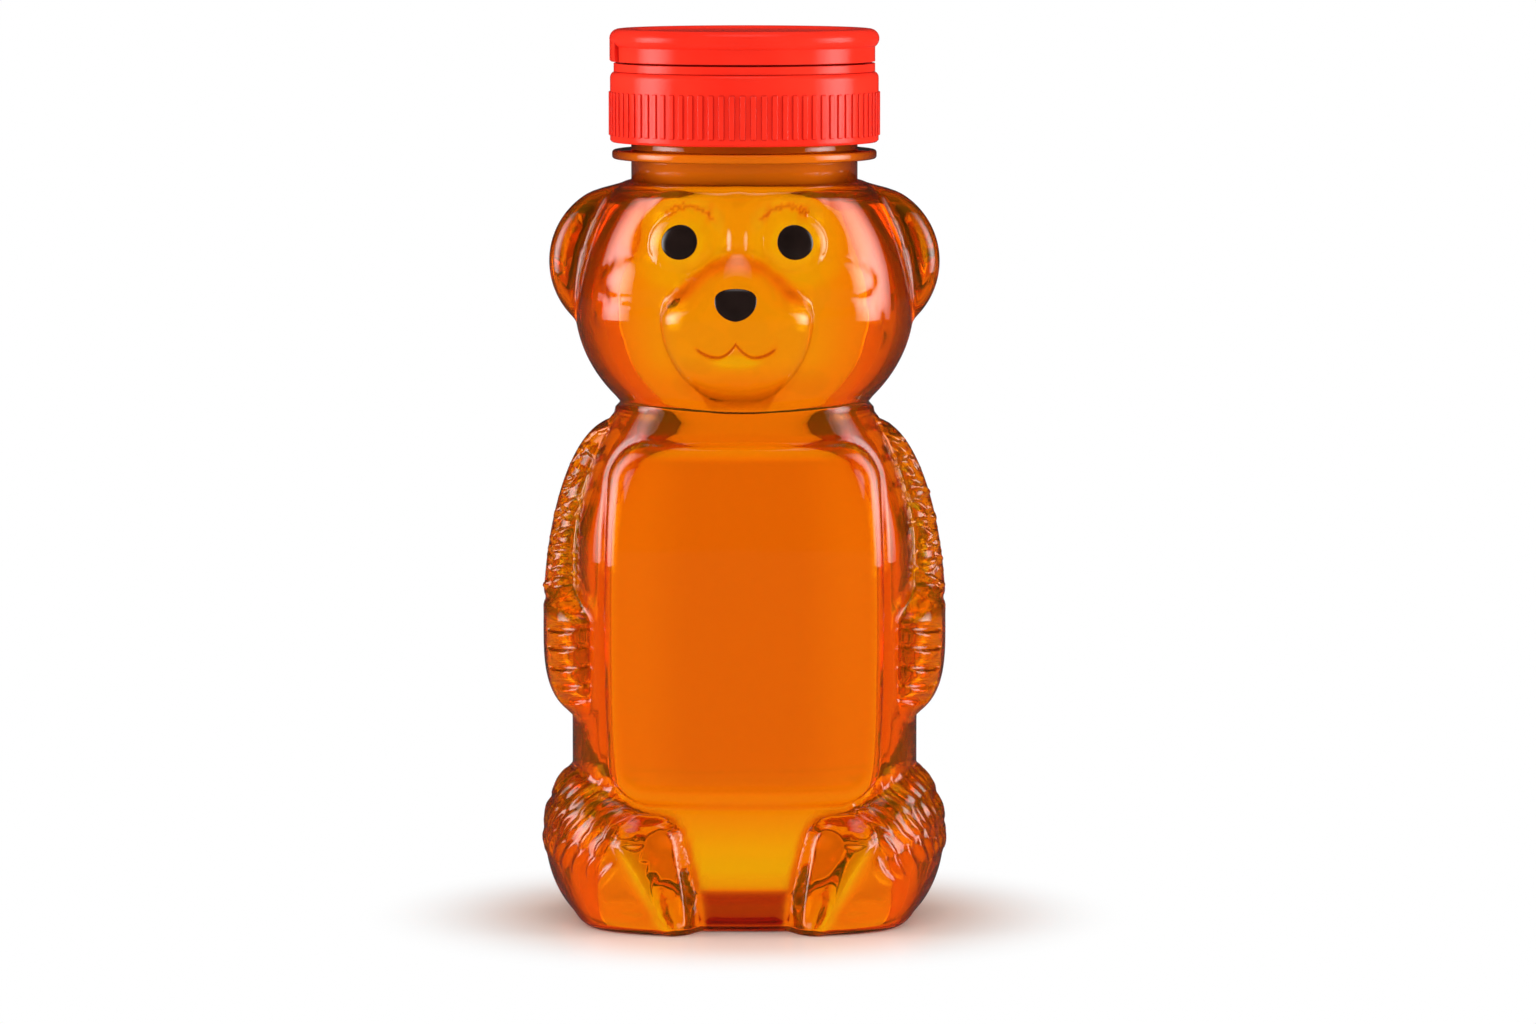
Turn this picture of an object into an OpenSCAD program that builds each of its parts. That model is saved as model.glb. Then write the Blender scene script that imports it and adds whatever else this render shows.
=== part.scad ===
// Honey bear bottle: a clear blown bear filled with honey, under a red flip-top screw closure.
// Millimetres, +Z up. The bear stands on z = 0 and its face looks to -Y. The origin is the middle of
// its footprint's box, so the axis of the neck stands a little behind it.

/* [Bear shell] */
// Height of the body, from the floor to the groove under the chin
torso_h = 79.8; // [74:0.1:88]
// Height of the head, from that groove to the foot of the neck
head_h = 34.2; // [32:0.1:38]
// Width of the body without arms and legs
torso_w = 53.4; // [50:0.1:58]
// Depth of the body from belly to back
torso_d = 42; // [38:0.1:48]
// How far the shoulders reach down before the body has its full width
shoulder_drop = 24; // [18:0.5:30]
// Width in the groove between body and head
throat_w = 37.8; // [34:0.1:42]
// Depth in the groove between body and head
throat_d = 34; // [30:0.1:38]
// Width of the head without ears
head_w = 52.4; // [48:0.1:56]
// Depth of the head without the muzzle
head_d = 43; // [40:0.1:48]
// Height of the widest part of the head above the groove
head_wide_up = 15.2; // [13:0.1:18]
// Radius that rounds the head over to the neck
crown_r = 2.2; // [1.5:0.1:3]
// Radius where the sides turn into the base
base_r = 2; // [1:0.1:3]
// How deep the middle of the base is pushed up
push_up = 2.2; // [1:0.1:4]
// Thickness of the blown wall
wall = 0.8; // [0.6:0.05:1.2]
// Distance of the neck's axis behind the middle of the bear's depth
axis_back = 2.8; // [2:0.1:4]

/* [Face] */
// How far the face is turned towards the bear's right, in degrees
face_turn = 2.7; // [0:0.1:6]
// Height of the eyes above the throat groove
eye_up = 25.7; // [23:0.1:27]
// Distance of each eye from the middle of the face
eye_out = 8.8; // [7:0.1:10]
// Diameter of a painted eye
eye_d = 5.3; // [4:0.1:6.4]
// Diameter of the mound that carries an eye
eye_mound_d = 9.4; // [8:0.1:11]
// How far the eye mound stands proud
eye_mound_proud = 1; // [0.5:0.1:1.6]
// Height of the middle of the muzzle above the throat groove
muzzle_up = 12.6; // [11:0.1:15]
// Width of the muzzle
muzzle_w = 21.4; // [18:0.1:24]
// Height of the muzzle
muzzle_h = 21.6; // [18:0.1:24]
// How far the muzzle stands proud of the face
muzzle_proud = 5.4; // [4:0.1:7]
// Height of the nose above the throat groove
nose_up = 16.8; // [15:0.1:19]
// Width of the nose
nose_w = 6.2; // [5:0.1:8]
// Height of the nose
nose_h = 4.7; // [4:0.1:6]
// Thickness of the paint of eyes and nose
paint_t = 0.3; // [0.2:0.05:0.5]

/* [Ears] */
// Reach of each ear from the axis
ear_reach = 30.15; // [28:0.05:33]
// Radius of the ear's outline
ear_r = 12.1; // [10:0.1:14]
// Height of the ear's middle above the throat groove
ear_up = 21.7; // [19:0.1:23]
// Thickness of an ear
ear_t = 8.6; // [7:0.1:11]

/* [Arms] */
// Reach of the arms from the axis, at the hands
arm_reach = 31.3; // [29:0.1:34]
// Height of the arm's widest part
arm_z = 45; // [40:0.5:48]
// Length of the arm above its widest part
arm_up = 32; // [28:0.5:36]
// Length of the hand below the arm's widest part
hand_down = 14.6; // [12:0.1:16]
// Height of the wrist
wrist_z = 49.5; // [46:0.5:53]

/* [Legs] */
// Reach of the legs from the axis, at the sides
leg_reach = 31; // [29:0.1:34]
// Height of the leg's widest part
leg_z = 12.9; // [11:0.1:15]
// Length of the leg above its widest part, at the sides
leg_up = 13; // [11:0.1:15]
// Reach of the feet to the front
foot_reach = 26.4; // [25:0.1:30]
// Height of the feet
foot_h = 18; // [15:0.1:21]
// Gap between the feet at the floor
foot_gap = 15; // [12:0.1:18]
// How much wider that gap is at the top of the feet
foot_gap_flare = 7; // [4:0.5:9]

/* [Label panel] */
// Width of the raised panel
panel_w = 42.5; // [38:0.1:45]
// Height of the raised panel
panel_h = 55.3; // [50:0.1:58]
// Height of the panel's middle above the floor
panel_z = 47; // [45:0.5:48]
// How far the panel stands proud
panel_proud = 1.1; // [0.5:0.1:1.4]
// Width of the panel's sloped edge
panel_edge = 2.3; // [1.5:0.1:3]
// Corner radius of the panel
panel_r = 6; // [4:0.5:9]

/* [Neck] */
// Diameter of the bore
bore_d = 31.6; // [30:0.1:34]
// Thickness of the neck's wall
neck_wall = 1.65; // [1.3:0.05:2]
// Height of the screw thread over the neck
thread_proud = 1.25; // [1:0.05:1.5]
// Rise of the thread in one turn, six turns to the inch
thread_pitch = 4.233; // [4.1:0.001:4.4]
// How far the transfer ring stands out from the neck
ring_proud = 2.95; // [2.5:0.05:3.3]
// Thickness of the transfer ring
ring_t = 1.4; // [1:0.1:1.8]
// Height of the transfer ring's underside above the foot of the neck
ring_up = 3.3; // [2.5:0.1:4.5]
// Height of the sealing land above the transfer ring
finish_h = 9.9; // [9.6:0.1:10.4]

/* [Honey] */
// Height of the honey above the foot of the neck
honey_up = 5; // [1:0.1:6]
// Film between the honey and the inside of the shell
honey_gap = 0.1; // [0.05:0.01:0.2]

/* [Closure] */
// Angle that the screwed-down closure has turned to, from hinge at the back
closure_clock = 40; // [0:5:90]
// Gap between the neck's thread and the inside of the closure's skirt
thread_gap = 0.25; // [0.2:0.05:0.4]
// Thickness of the closure's skirt
skirt_wall = 1.75; // [1.5:0.05:2.2]
// How far the grip ribs stand proud of the skirt
rib_proud = 0.23; // [0.15:0.01:0.35]
// Number of grip ribs
rib_count = 80; // [60:2:100]
// Width of a grip rib
rib_w = 0.95; // [0.7:0.05:1.1]
// Plain lip below the ribs
lip_h = 1.1; // [0.8:0.1:1.6]
// Height of the ribs
rib_h = 6.6; // [5:0.1:7]
// Gap between the closure's lower edge and the transfer ring
skirt_gap = 1.2; // [0.8:0.1:1.6]
// Thickness of the foam sealing liner
liner_t = 0.85; // [0.6:0.05:1.2]
// Thickness of the closure's deck
deck_t = 1.3; // [1:0.1:1.8]
// Height of the collar that the lid closes onto
collar_h = 1.2; // [1:0.1:1.6]
// How far the collar and the lid's recessed side lie inside the skirt's outside
collar_step = 0.55; // [0.4:0.05:0.8]
// Diameter of the spout's hole
orifice_d = 6.4; // [6:0.1:7]
// Thickness of the spout's wall
spout_wall = 1.8; // [1.4:0.1:2.4]
// Height of the spout above the deck
spout_h = 3.5; // [3:0.1:3.6]
// Height of the latch boss above the deck
boss_h = 2.7; // [2.2:0.1:3.2]

/* [Lid] */
// Height of the closed lid
lid_h = 5; // [4.8:0.1:6]
// How far the lid's rolled rim stands out over the skirt
rim_proud = 0.1; // [0.05:0.05:0.4]
// Height of the rolled rim
rim_h = 3; // [2.6:0.1:3.2]
// Thickness of the lid's top
lid_top_t = 1.2; // [1:0.1:1.4]
// Depth of the shallow dish in the lid's top
dish = 0.35; // [0.2:0.05:0.5]
// Angle on each side of the hinge over which the lid's side stays flush
flush_angle = 67; // [50:1:80]
// Gap at the parting line between lid and collar
parting_gap = 0.3; // [0.2:0.05:0.4]
// Running clearance of latch and spout seal
fit = 0.2; // [0.15:0.01:0.3]
// Width of one hinge film
film_w = 2.6; // [2:0.1:4]
// Distance of each hinge film from the middle of the hinge
film_out = 4.8; // [4:0.1:7]
// Height of one hinge film
film_h = 1.2; // [1:0.1:1.6]
// Width of the spring strap in the middle of the hinge
spring_w = 4; // [3:0.1:5]
// Height of the spring strap
spring_h = 2.6; // [2:0.1:3]
// Thickness of film and strap
film_t = 0.35; // [0.3:0.05:0.5]

/* [Hidden] */

// Heights
neck_z = torso_h + head_h;
ring_z = neck_z + ring_up;
land_z = ring_z + ring_t + finish_h;
seal_gap = 0.02;
liner_z = land_z + seal_gap;
deck_under_z = liner_z + liner_t + seal_gap;
deck_z = deck_under_z + deck_t;
skirt_z = ring_z + ring_t + skirt_gap;
rib_z = skirt_z + lip_h;
parting_z = deck_z + collar_h;
lid_z = parting_z + parting_gap;
lid_top_z = lid_z + lid_h;
hinge_z = parting_z + parting_gap / 2;

// Radii of the neck and the closure
bore_r = bore_d / 2;
neck_r = bore_r + neck_wall;
thread_r = neck_r + thread_proud;
ring_r = neck_r + ring_proud;
skirt_inner_r = thread_r + thread_gap;
skirt_r = skirt_inner_r + skirt_wall;
crest_gap = 0.3;
inner_thread_r = neck_r + crest_gap;
collar_r = skirt_r - collar_step;
rim_r = skirt_r + rim_proud;
spout_r = orifice_d / 2 + spout_wall;
lug_margin = 0.5;
lug_proud = 0.05;
lug_face = max(rim_r, skirt_r + rib_proud) + lug_proud;
hinge_r = lug_face + film_t;
lug_half = film_out + film_w / 2 + lug_margin;

// Colours
amber = [0.93, 0.5, 0.08, 0.75];
honey_gold = [0.95, 0.55, 0.05];
paint_black = [0.05, 0.04, 0.04];
cap_red = [1, 0.2, 0.1];
liner_white = [0.95, 0.95, 0.92];

// Mesh of the blown shell: columns around it, crowded to the front and the sides, and levels up it
columns = 68;
torso_levels = 21;
head_levels = 10;
turn_levels = 3;
front_crowding = 17.2;
side_crowding = 4.3;
round_fn = 96;

// Squareness of the ovals seen from above
torso_square = 2.6;
head_square = 2.25;
leg_square = 2.5;

// Angles from the front: where limbs sit, how far they spread, and where feet turn into thighs
arm_turn = 93;
hand_turn = 81;
arm_spread = 17;
hand_spread = 20;
thigh_from = 34;
thigh_over = 40;
leg_end = 108;
leg_end_over = 26;

// Depths and lengths of the swellings
base_taper = 0.9;
base_taper_h = 24;
least_r = 4;
root_sink = 2;
head_top_half = 28.7;
crown_d = 5.4;
arm_swell = 11.3;
cuff_h = 2.2;
cuff_depth = 0.5;
leg_swell = 11;
foot_middle = 0.55;
foot_side = 3;
panel_bow = 0.9;
brow_r = 7.8;
brow_half = 1.7;
brow_proud = 0.5;
blend = 0.5;

// Shape helpers
function unit(t) = max(0, min(1, t));
function ease(t) = let (c = unit(t)) c * c * (3 - 2 * c);
function mix(a, b, t) = a + (b - a) * t;
function dome(t, p = 2) = abs(t) >= 1 ? 0 : pow(1 - pow(abs(t), p), 1 / p);
function soft_max(a, b, k) = let (h = max(k - abs(a - b), 0) / k) max(a, b) + h * h * k / 4;
function arc(cx, cy, r, from, to, n) =
    [for (i = [0:n]) let (a = mix(from, to, i / n)) [cx + r * cos(a), cy + r * sin(a)]];

// Angles are measured from the front, so 0 faces -Y and 90 faces +X
function around(r, a, z) = [r * sin(a), -r * cos(a), z];
function oval(a, half_w, half_d, n) =
    1 / pow(pow(abs(sin(a)) / half_w, n) + pow(abs(cos(a)) / half_d, n), 1 / n);

// Body: a squarish oval that narrows over the shoulders to the throat, and a little to the base
function torso_r(a, z) =
    let (
        drop = min((torso_h - z) / shoulder_drop, 1),
        f = 1 - pow(1 - drop, 2),
        taper = base_taper * ease((base_taper_h - z) / base_taper_h),
        half_w = max(mix(throat_w, torso_w, f) / 2 - taper, least_r),
        half_d = max(mix(throat_d, torso_d, f) / 2, least_r)
    ) oval(a, half_w, half_d, torso_square);

// Head: an egg that stands on the throat, cut off by the crown that rounds over to the neck
function head_r(a, z) =
    let (
        up = z - torso_h - head_wide_up,
        low_half = head_wide_up / sqrt(1 - pow(throat_w / head_w, 2)),
        t = up < 0 ? up / low_half : up / head_top_half,
        half_w = max(head_w / 2 * dome(t), least_r),
        half_d = up < 0
            ? max(mix(throat_d / 2 - 1, head_d / 2, dome(up / head_wide_up * 0.98, 2.2)), least_r)
            : mix(head_d, 2 * neck_r + crown_d, ease(up / (head_h - head_wide_up))) / 2
    ) oval(a, half_w, half_d, head_square);

// Ears: round flaps that stand out at both sides of the head
function ear_height(z) = ear_reach - ear_r + ear_r * dome((z - torso_h - ear_up) / ear_r);
function ear_out_r(a, z, skin) =
    let (edge = dome(skin * cos(a) / (ear_t / 2), 2.6)) mix(skin - root_sink, ear_height(z), edge);

// Arms: a limb along each side that ends in a hand, which comes further to the front
function arm_height(z) =
    arm_reach - arm_swell
    + arm_swell * (z > arm_z ? dome((z - arm_z) / arm_up) : dome((arm_z - z) / hand_down, 3));
function arm_r(a, z, skin) =
    let (
        hand = 1 - ease((z - wrist_z) / 6 + 0.5),
        middle = mix(arm_turn, hand_turn, hand),
        half = mix(arm_spread, hand_spread, hand),
        notch = cuff_depth * dome((z - wrist_z) / cuff_h),
        edge = dome((abs(a) - middle) / half, 2.4)
    ) mix(skin - root_sink, arm_height(z) - notch, edge);

// Legs: a band round the base with a thigh at each side and a foot at each side of the front gap
function leg_r(a, z, skin) =
    let (
        side = ease((abs(a) - thigh_from) / thigh_over),
        top = mix(foot_h - leg_z * foot_middle, leg_up, side),
        middle = mix(leg_z * foot_middle, leg_z, side),
        t = z > middle ? (z - middle) / top : (middle - z) / (middle + mix(6.9, 2.1, side)),
        q = dome(t, mix(3, 2, side)),
        half_w = leg_reach - leg_swell + leg_swell * q,
        half_d = mix(torso_d / 2 - root_sink - 1, foot_reach, q),
        gap = foot_gap / 2 + foot_gap_flare / 2 * pow(unit(z / foot_h), 1.6),
        inner = asin(unit(gap / (foot_reach - 1))),
        held = ease((abs(a) - inner) / foot_side) * (1 - ease((abs(a) - leg_end) / leg_end_over))
    ) mix(skin - root_sink, oval(a, half_w, half_d, leg_square), held);

// Label panel: a raised pad with a sloped edge and slightly bowed sides
function panel_rise(a, z, skin) =
    let (
        bow = panel_bow * pow((z - panel_z) / (panel_h / 2), 2),
        dx = abs(skin * sin(a)) - (panel_w / 2 - bow - panel_r),
        dz = abs(z - panel_z) - (panel_h / 2 - panel_r),
        inside = panel_r - sqrt(pow(max(dx, 0), 2) + pow(max(dz, 0), 2)) - min(max(dx, dz), 0),
        front = abs(a) < 90 ? 1 : 0
    ) front * panel_proud * ease(inside / panel_edge);

// Face: muzzle, eye mounds and the brow ridge over each eye, on a face turned a little to one side
function face_rise(a, z) =
    let (
        reach = head_d / 2,
        turned = a + face_turn,
        x = reach * sin(turned),
        ahead = cos(turned) > 0 ? 1 : 0,
        muzzle_t = sqrt(pow(x / (muzzle_w / 2), 2) + pow((z - torso_h - muzzle_up) / (muzzle_h / 2), 2)),
        ex = abs(x) - eye_out,
        ez = z - torso_h - eye_up,
        eye_t = sqrt(ex * ex + ez * ez),
        brow_t = (eye_t - brow_r) / brow_half,
        brow_side = ease((eye_out * 0.4 - ex) / 3) * ease((ez + 3) / 4)
    ) ahead * (muzzle_proud * pow(dome(muzzle_t), 1.2)
        + eye_mound_proud * dome(eye_t / (eye_mound_d / 2))
        + brow_proud * dome(brow_t) * brow_side);

// Outer radius of the shell at an angle and a height
function shell_r(a, z) =
    let (
        head = head_r(a, z),
        torso = torso_r(a, z),
        core = soft_max(torso, head, 1),
        with_ears = z > torso_h ? soft_max(core, ear_out_r(a, z, core), blend) : core,
        with_face = z > torso_h - 4 ? with_ears + face_rise(a, z) : with_ears,
        with_arms = z < torso_h ? soft_max(with_face, arm_r(a, z, core), blend) : with_face,
        with_legs = z < leg_z + leg_up + 2 ? soft_max(with_arms, leg_r(a, z, core), blend) : with_arms,
        full = with_legs + panel_rise(a, z, core),
        crown = dome(unit((z - neck_z + crown_r) / crown_r) * 0.9999),
        foot = base_r * (1 - dome(unit(1 - z / base_r) * 0.9999))
    ) mix(neck_r, full, z > neck_z - crown_r ? crown : 1) - foot;

// Angles and levels at which the shell is drawn
function wrap(a) = a > 180 ? a - 360 : a;
shell_angles = [for (i = [0:columns - 1]) let (t = 360 * i / columns)
    wrap(t - front_crowding * sin(t) - side_crowding * sin(4 * t))];
shell_levels = concat(
    [for (i = [0:turn_levels - 1]) base_r * (1 - cos(90 * i / turn_levels))],
    [for (i = [0:torso_levels]) mix(base_r, torso_h, i / torso_levels)],
    [for (i = [1:head_levels]) mix(torso_h, neck_z - crown_r, i / head_levels)],
    [for (i = [1:turn_levels]) neck_z - crown_r + crown_r * sin(90 * i / turn_levels)]);
standing_share = 0.86;
base_steps = [0.3, 0.6, standing_share];

// Puts a piece drawn about the neck's axis where that axis stands
module on_axis() {
    translate([0, axis_back, 0]) children();
}

// Closed skin over a stack of rings, from one tip to the other. Its facets lean to one side or the
// other, so that a skin drawn upwards can match one drawn downwards.
module skin_over(first, rings, last, lean = 0) {
    n = len(rings[0]);
    m = len(rings);
    points = concat([first], [for (ring = rings) each ring], [last]);
    end = len(points) - 1;
    faces = concat(
        [for (i = [0:n - 1]) [0, 1 + i, 1 + (i + 1) % n]],
        [for (k = [0:m - 2]) for (i = [0:n - 1])
            let (p = 1 + k * n + i, q = 1 + k * n + (i + 1) % n)
            each lean == 0 ? [[p, p + n, q + n], [p, q + n, q]] : [[p, p + n, q], [p + n, q + n, q]]],
        [for (i = [0:n - 1]) [end, end - n + (i + 1) % n, end - n + i]]);
    polyhedron(points, faces, convexity = 8);
}

// Rings of the pushed-up base, and of the sides, drawn inward by an amount
function base_ring(share, inward, lift) =
    let (z = lift + push_up * (1 - pow(share / standing_share, 3)))
    [for (a = shell_angles)
        let (r = mix(torso_r(a, 0) - base_r, shell_r(a, 0), pow(share, 6)))
        around(share * (r - inward), a, z)];
function side_ring(z, inward, lift) =
    [for (a = shell_angles) around(shell_r(a, z) - inward, a, max(z, lift))];

// The inside of the shell, from the middle of its floor to a height
function inner_rings(inward, lift, top) = concat(
    [for (share = base_steps) base_ring(share, inward, lift)],
    [for (z = shell_levels) if (z <= top) side_ring(z, inward, lift + min(z, base_r) * 0.2)]);

module bottle_body() {
    top = neck_z - crown_r;
    outside = concat(
        [for (share = base_steps) base_ring(share, 0, 0)],
        [for (z = shell_levels) side_ring(z, 0, 0)]);
    inside = inner_rings(wall, wall, top);
    mouth = [for (z = [neck_z, neck_z - wall]) [for (a = shell_angles)
        around(z == neck_z ? bore_r : mix(bore_r, shell_r(a, top) - wall, 0.45), a, z)]];
    back_down = [for (i = [len(inside) - 1:-1:0]) inside[i]];
    color(amber)
    on_axis()
    skin_over([0, 0, push_up], concat(outside, mouth, back_down), [0, 0, push_up + wall]);
}

module honey() {
    inward = wall + honey_gap;
    top = neck_z - crown_r;
    inside = inner_rings(inward, inward, top);
    level = neck_z + honey_up;
    column_r = bore_r - honey_gap;
    neck_rings = [for (z = [neck_z - wall, neck_z, level]) [for (a = shell_angles)
        around(z < neck_z ? mix(column_r, shell_r(a, top) - inward, 0.4) : column_r, a, z)]];
    color(honey_gold)
    on_axis()
    skin_over([0, 0, push_up + inward], concat(inside, neck_rings), [0, 0, level], lean = 1);
}

// A spot of paint on the face: rings of an outline, from the rim to the middle, on the shell's skin
module paint_spot(x, z, outline) {
    gap = 0.05;
    shares = [1, 0.7, 0.35];
    reach = head_d / 2;
    function spot_point(p, share, lift) =
        let (a = asin((x + p[0] * share) / reach) - face_turn, h = z + p[1] * share)
        around(shell_r(a, h) + lift, a, h);
    under = [for (share = [0.35, 0.7, 1]) [for (p = outline) spot_point(p, share, gap)]];
    over = [for (share = shares) [for (p = outline)
        spot_point(p, share * (share == 1 ? 0.97 : 1), gap + paint_t * (share == 1 ? 0.6 : 1))]];
    skin_over(spot_point([0, 0], 0, gap), concat(under, over), spot_point([0, 0], 0, gap + paint_t));
}

eye_outline = [for (i = [0:15]) let (a = -22.5 * i) eye_d / 2 * [cos(a), sin(a)]];
nose_outline = [for (i = [0:17]) let (a = -20 * i)
    [nose_w / 2 * cos(a) * (sin(a) > 0 ? pow(abs(cos(a)), -0.25) : 1),
     nose_h / 2 * sin(a) * (1 - 0.12 * pow(cos(a), 2))]];

module left_eye() {
    color(paint_black) on_axis() paint_spot(eye_out, torso_h + eye_up, eye_outline);
}

module right_eye() {
    color(paint_black) on_axis() paint_spot(-eye_out, torso_h + eye_up, eye_outline);
}

module nose() {
    color(paint_black) on_axis() paint_spot(0, torso_h + nose_up, nose_outline);
}

// Screw thread: a ridge of four corners that winds up a wall and fades at both ends
module thread(root_r, crest_r, start_z, start_angle, turns) {
    steps = round(turns * 40);
    half_root = 0.95;
    half_crest = 0.45;
    rings = [for (i = [0:steps])
        let (
            t = i / steps,
            grow = ease(t * 9) * ease((1 - t) * 9),
            a = start_angle + 360 * turns * t,
            z = start_z + thread_pitch * turns * t,
            top_r = mix(root_r, crest_r, max(grow, 0.05))
        )
        [for (c = [[root_r, -half_root], [top_r, -half_crest], [top_r, half_crest], [root_r, half_root]])
            [c[0] * cos(a), c[0] * sin(a), z + c[1]]]];
    count = len(rings);
    turned_in = crest_r < root_r;
    sides = [for (k = [0:count - 2]) for (i = [0:3])
        let (p = 4 * k + i, q = 4 * k + (i + 1) % 4)
        each [[p, p + 4, q + 4], [p, q + 4, q]]];
    ends = [[0, 1, 2], [0, 2, 3],
        [4 * count - 4, 4 * count - 2, 4 * count - 3], [4 * count - 4, 4 * count - 1, 4 * count - 2]];
    all = concat(sides, ends);
    faces = turned_in ? all : [for (f = all) [f[0], f[2], f[1]]];
    polyhedron([for (ring = rings) each ring], faces, convexity = 8);
}

thread_turns = 1.2;
thread_z = ring_z + ring_t + 2.3;
// The closure's thread starts above the skirt's edge and runs half a pitch below the neck's
inner_turns = 1;
inner_lead_angle = 360 * (0.5 + (skirt_z + 1.5 - thread_z) / thread_pitch);

module bottle_neck() {
    edge = ring_t * 0.3;
    color(amber)
    on_axis()
    union() {
        rotate_extrude($fn = round_fn)
        polygon([
            [bore_r, neck_z], [neck_r, neck_z], [neck_r, ring_z],
            [ring_r - edge, ring_z], [ring_r, ring_z + edge],
            [ring_r, ring_z + ring_t - edge], [ring_r - edge, ring_z + ring_t],
            [neck_r, ring_z + ring_t], [neck_r, land_z - 0.5], [neck_r - 0.5, land_z], [bore_r, land_z]]);
        thread(neck_r - 0.4, thread_r, thread_z, 0, thread_turns);
    }
}

module sealing_liner() {
    color(liner_white)
    on_axis()
    translate([0, 0, liner_z])
    difference() {
        cylinder(h = liner_t, r = skirt_inner_r - 0.5, $fn = round_fn);
        translate([0, 0, -1]) cylinder(h = liner_t + 2, r = bore_r - 1.2, $fn = round_fn);
    }
}

// Turns a piece of the closure about the neck to where it was screwed down, its hinge at the back
module clocked() {
    on_axis() rotate([0, 0, closure_clock]) children();
}

// Flat lug on the outside of base or lid that carries the hinge pieces, rooted in the wall behind it
module hinge_lug(low, high) {
    depth = lug_face - skirt_inner_r * cos(asin(lug_half / skirt_inner_r));
    difference() {
        translate([-lug_half, lug_face - depth, low])
        cube([2 * lug_half, depth, high - low]);
        translate([0, 0, low - 1])
        cylinder(h = high - low + 2, r = skirt_inner_r + 0.25, $fn = round_fn);
    }
}

boss_r = collar_r - 1.75;
latch_groove = 0.3;

module closure_base() {
    round_edge = 1;
    inner_lead = 0.5;
    color(cap_red)
    clocked()
    union() {
        rotate_extrude($fn = round_fn)
        polygon(concat(
            [[orifice_d / 2, deck_under_z], [skirt_inner_r, deck_under_z],
             [skirt_inner_r, skirt_z + inner_lead], [skirt_inner_r + inner_lead, skirt_z],
             [skirt_r - 0.3, skirt_z], [skirt_r, skirt_z + 0.3]],
            arc(skirt_r - round_edge, deck_z - round_edge, round_edge, 0, 80, 5),
            [[collar_r, deck_z], [collar_r, parting_z], [boss_r, parting_z],
             [boss_r - latch_groove, parting_z + 0.3], [boss_r - latch_groove, deck_z + boss_h - 0.6],
             [boss_r, deck_z + boss_h - 0.3], [boss_r - 0.3, deck_z + boss_h],
             [boss_r - 1.3, deck_z + boss_h], [boss_r - 1.3, deck_z],
             [spout_r + 1, deck_z], [spout_r, deck_z + 1],
             [spout_r, deck_z + spout_h - 0.4], [spout_r - 0.4, deck_z + spout_h],
             [orifice_d / 2, deck_z + spout_h]]));
        translate([0, 0, rib_z])
        linear_extrude(rib_h)
        difference() {
            rib_ring();
            circle(r = skirt_r - 0.6, $fn = round_fn);
        }
        thread(skirt_inner_r + 0.4, inner_thread_r, thread_z + thread_pitch * (inner_lead_angle / 360 - 0.5),
            inner_lead_angle - closure_clock, inner_turns);
        hinge_lug(deck_z - 1.6, parting_z);
    }
}

// Outline of the grip ribs, sunk a little into the skirt
module rib_ring() {
    root = skirt_r - 0.2;
    tip = skirt_r + rib_proud;
    pitch = 360 / rib_count;
    half = rib_w / 2 / tip * 180 / PI;
    polygon([for (i = [0:rib_count - 1])
        for (c = [[root, -half], [tip, -half * 0.8], [tip, half * 0.8], [root, half]])
        c[0] * [cos(pitch * i + c[1]), sin(pitch * i + c[1])]]);
}

module closure_lid() {
    color(cap_red)
    clocked()
    union() {
        rotate_extrude($fn = round_fn) polygon(lid_section());
        rotate([0, 0, 90 - flush_angle])
        rotate_extrude(angle = 2 * flush_angle, $fn = round_fn) polygon(flush_section());
        hinge_lug(lid_z, lid_z + 2.2);
    }
}

roll_r = rim_h / 2;
roll_z = lid_top_z - roll_r;

// Half section of the lid: recessed side, rolled rim, dished top, spout seal and latch bead
function lid_section() =
    let (
        inner_r = boss_r + fit + latch_groove,
        ceiling_z = lid_top_z - lid_top_t,
        seal_r = spout_r + fit,
        seal_z = deck_z + spout_h - 1.1,
        bead_z = deck_z + boss_h - 1,
        under = acos(min((collar_r - rim_r + roll_r) / roll_r, 0.98))
    )
    concat(
        [[inner_r + 0.3, lid_z], [collar_r, lid_z]],
        arc(rim_r - roll_r, roll_z, roll_r, -under, 90, 10),
        [[rim_r - 3.4, lid_top_z], [rim_r - 4.4, lid_top_z - dish], [0, lid_top_z - dish],
         [0, ceiling_z], [seal_r, ceiling_z], [seal_r, seal_z], [seal_r + 0.8, seal_z],
         [seal_r + 0.8, ceiling_z], [inner_r, ceiling_z], [inner_r, bead_z + 0.3],
         [inner_r - latch_groove, bead_z], [inner_r, bead_z - 0.3], [inner_r, lid_z + 0.3]]);

// Half section of what fills the recess beside the hinge, a hair inside the rolled rim
function flush_section() =
    let (side_r = rim_r - 0.03)
    [[collar_r - 0.6, lid_z], [side_r - 0.2, lid_z], [side_r, lid_z + 0.2], [side_r, roll_z + 0.1],
     [rim_r - roll_r, roll_z + 0.1], [collar_r - 0.6, roll_z - 0.5]];

// Hinge: a thin film on each side and a strap between them, flat against the lugs of base and lid
module hinge_piece(offset, width, height) {
    color(cap_red)
    clocked()
    translate([offset - width / 2, lug_face, hinge_z - height / 2])
    cube([width, film_t, height]);
}

module hinge_film_left() {
    hinge_piece(-film_out, film_w, film_h);
}

module hinge_film_right() {
    hinge_piece(film_out, film_w, film_h);
}

module hinge_spring() {
    hinge_piece(0, spring_w, spring_h);
}

bottle_body();
bottle_neck();
honey();
left_eye();
right_eye();
nose();
sealing_liner();
closure_base();
closure_lid();
hinge_film_left();
hinge_film_right();
hinge_spring();
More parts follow.
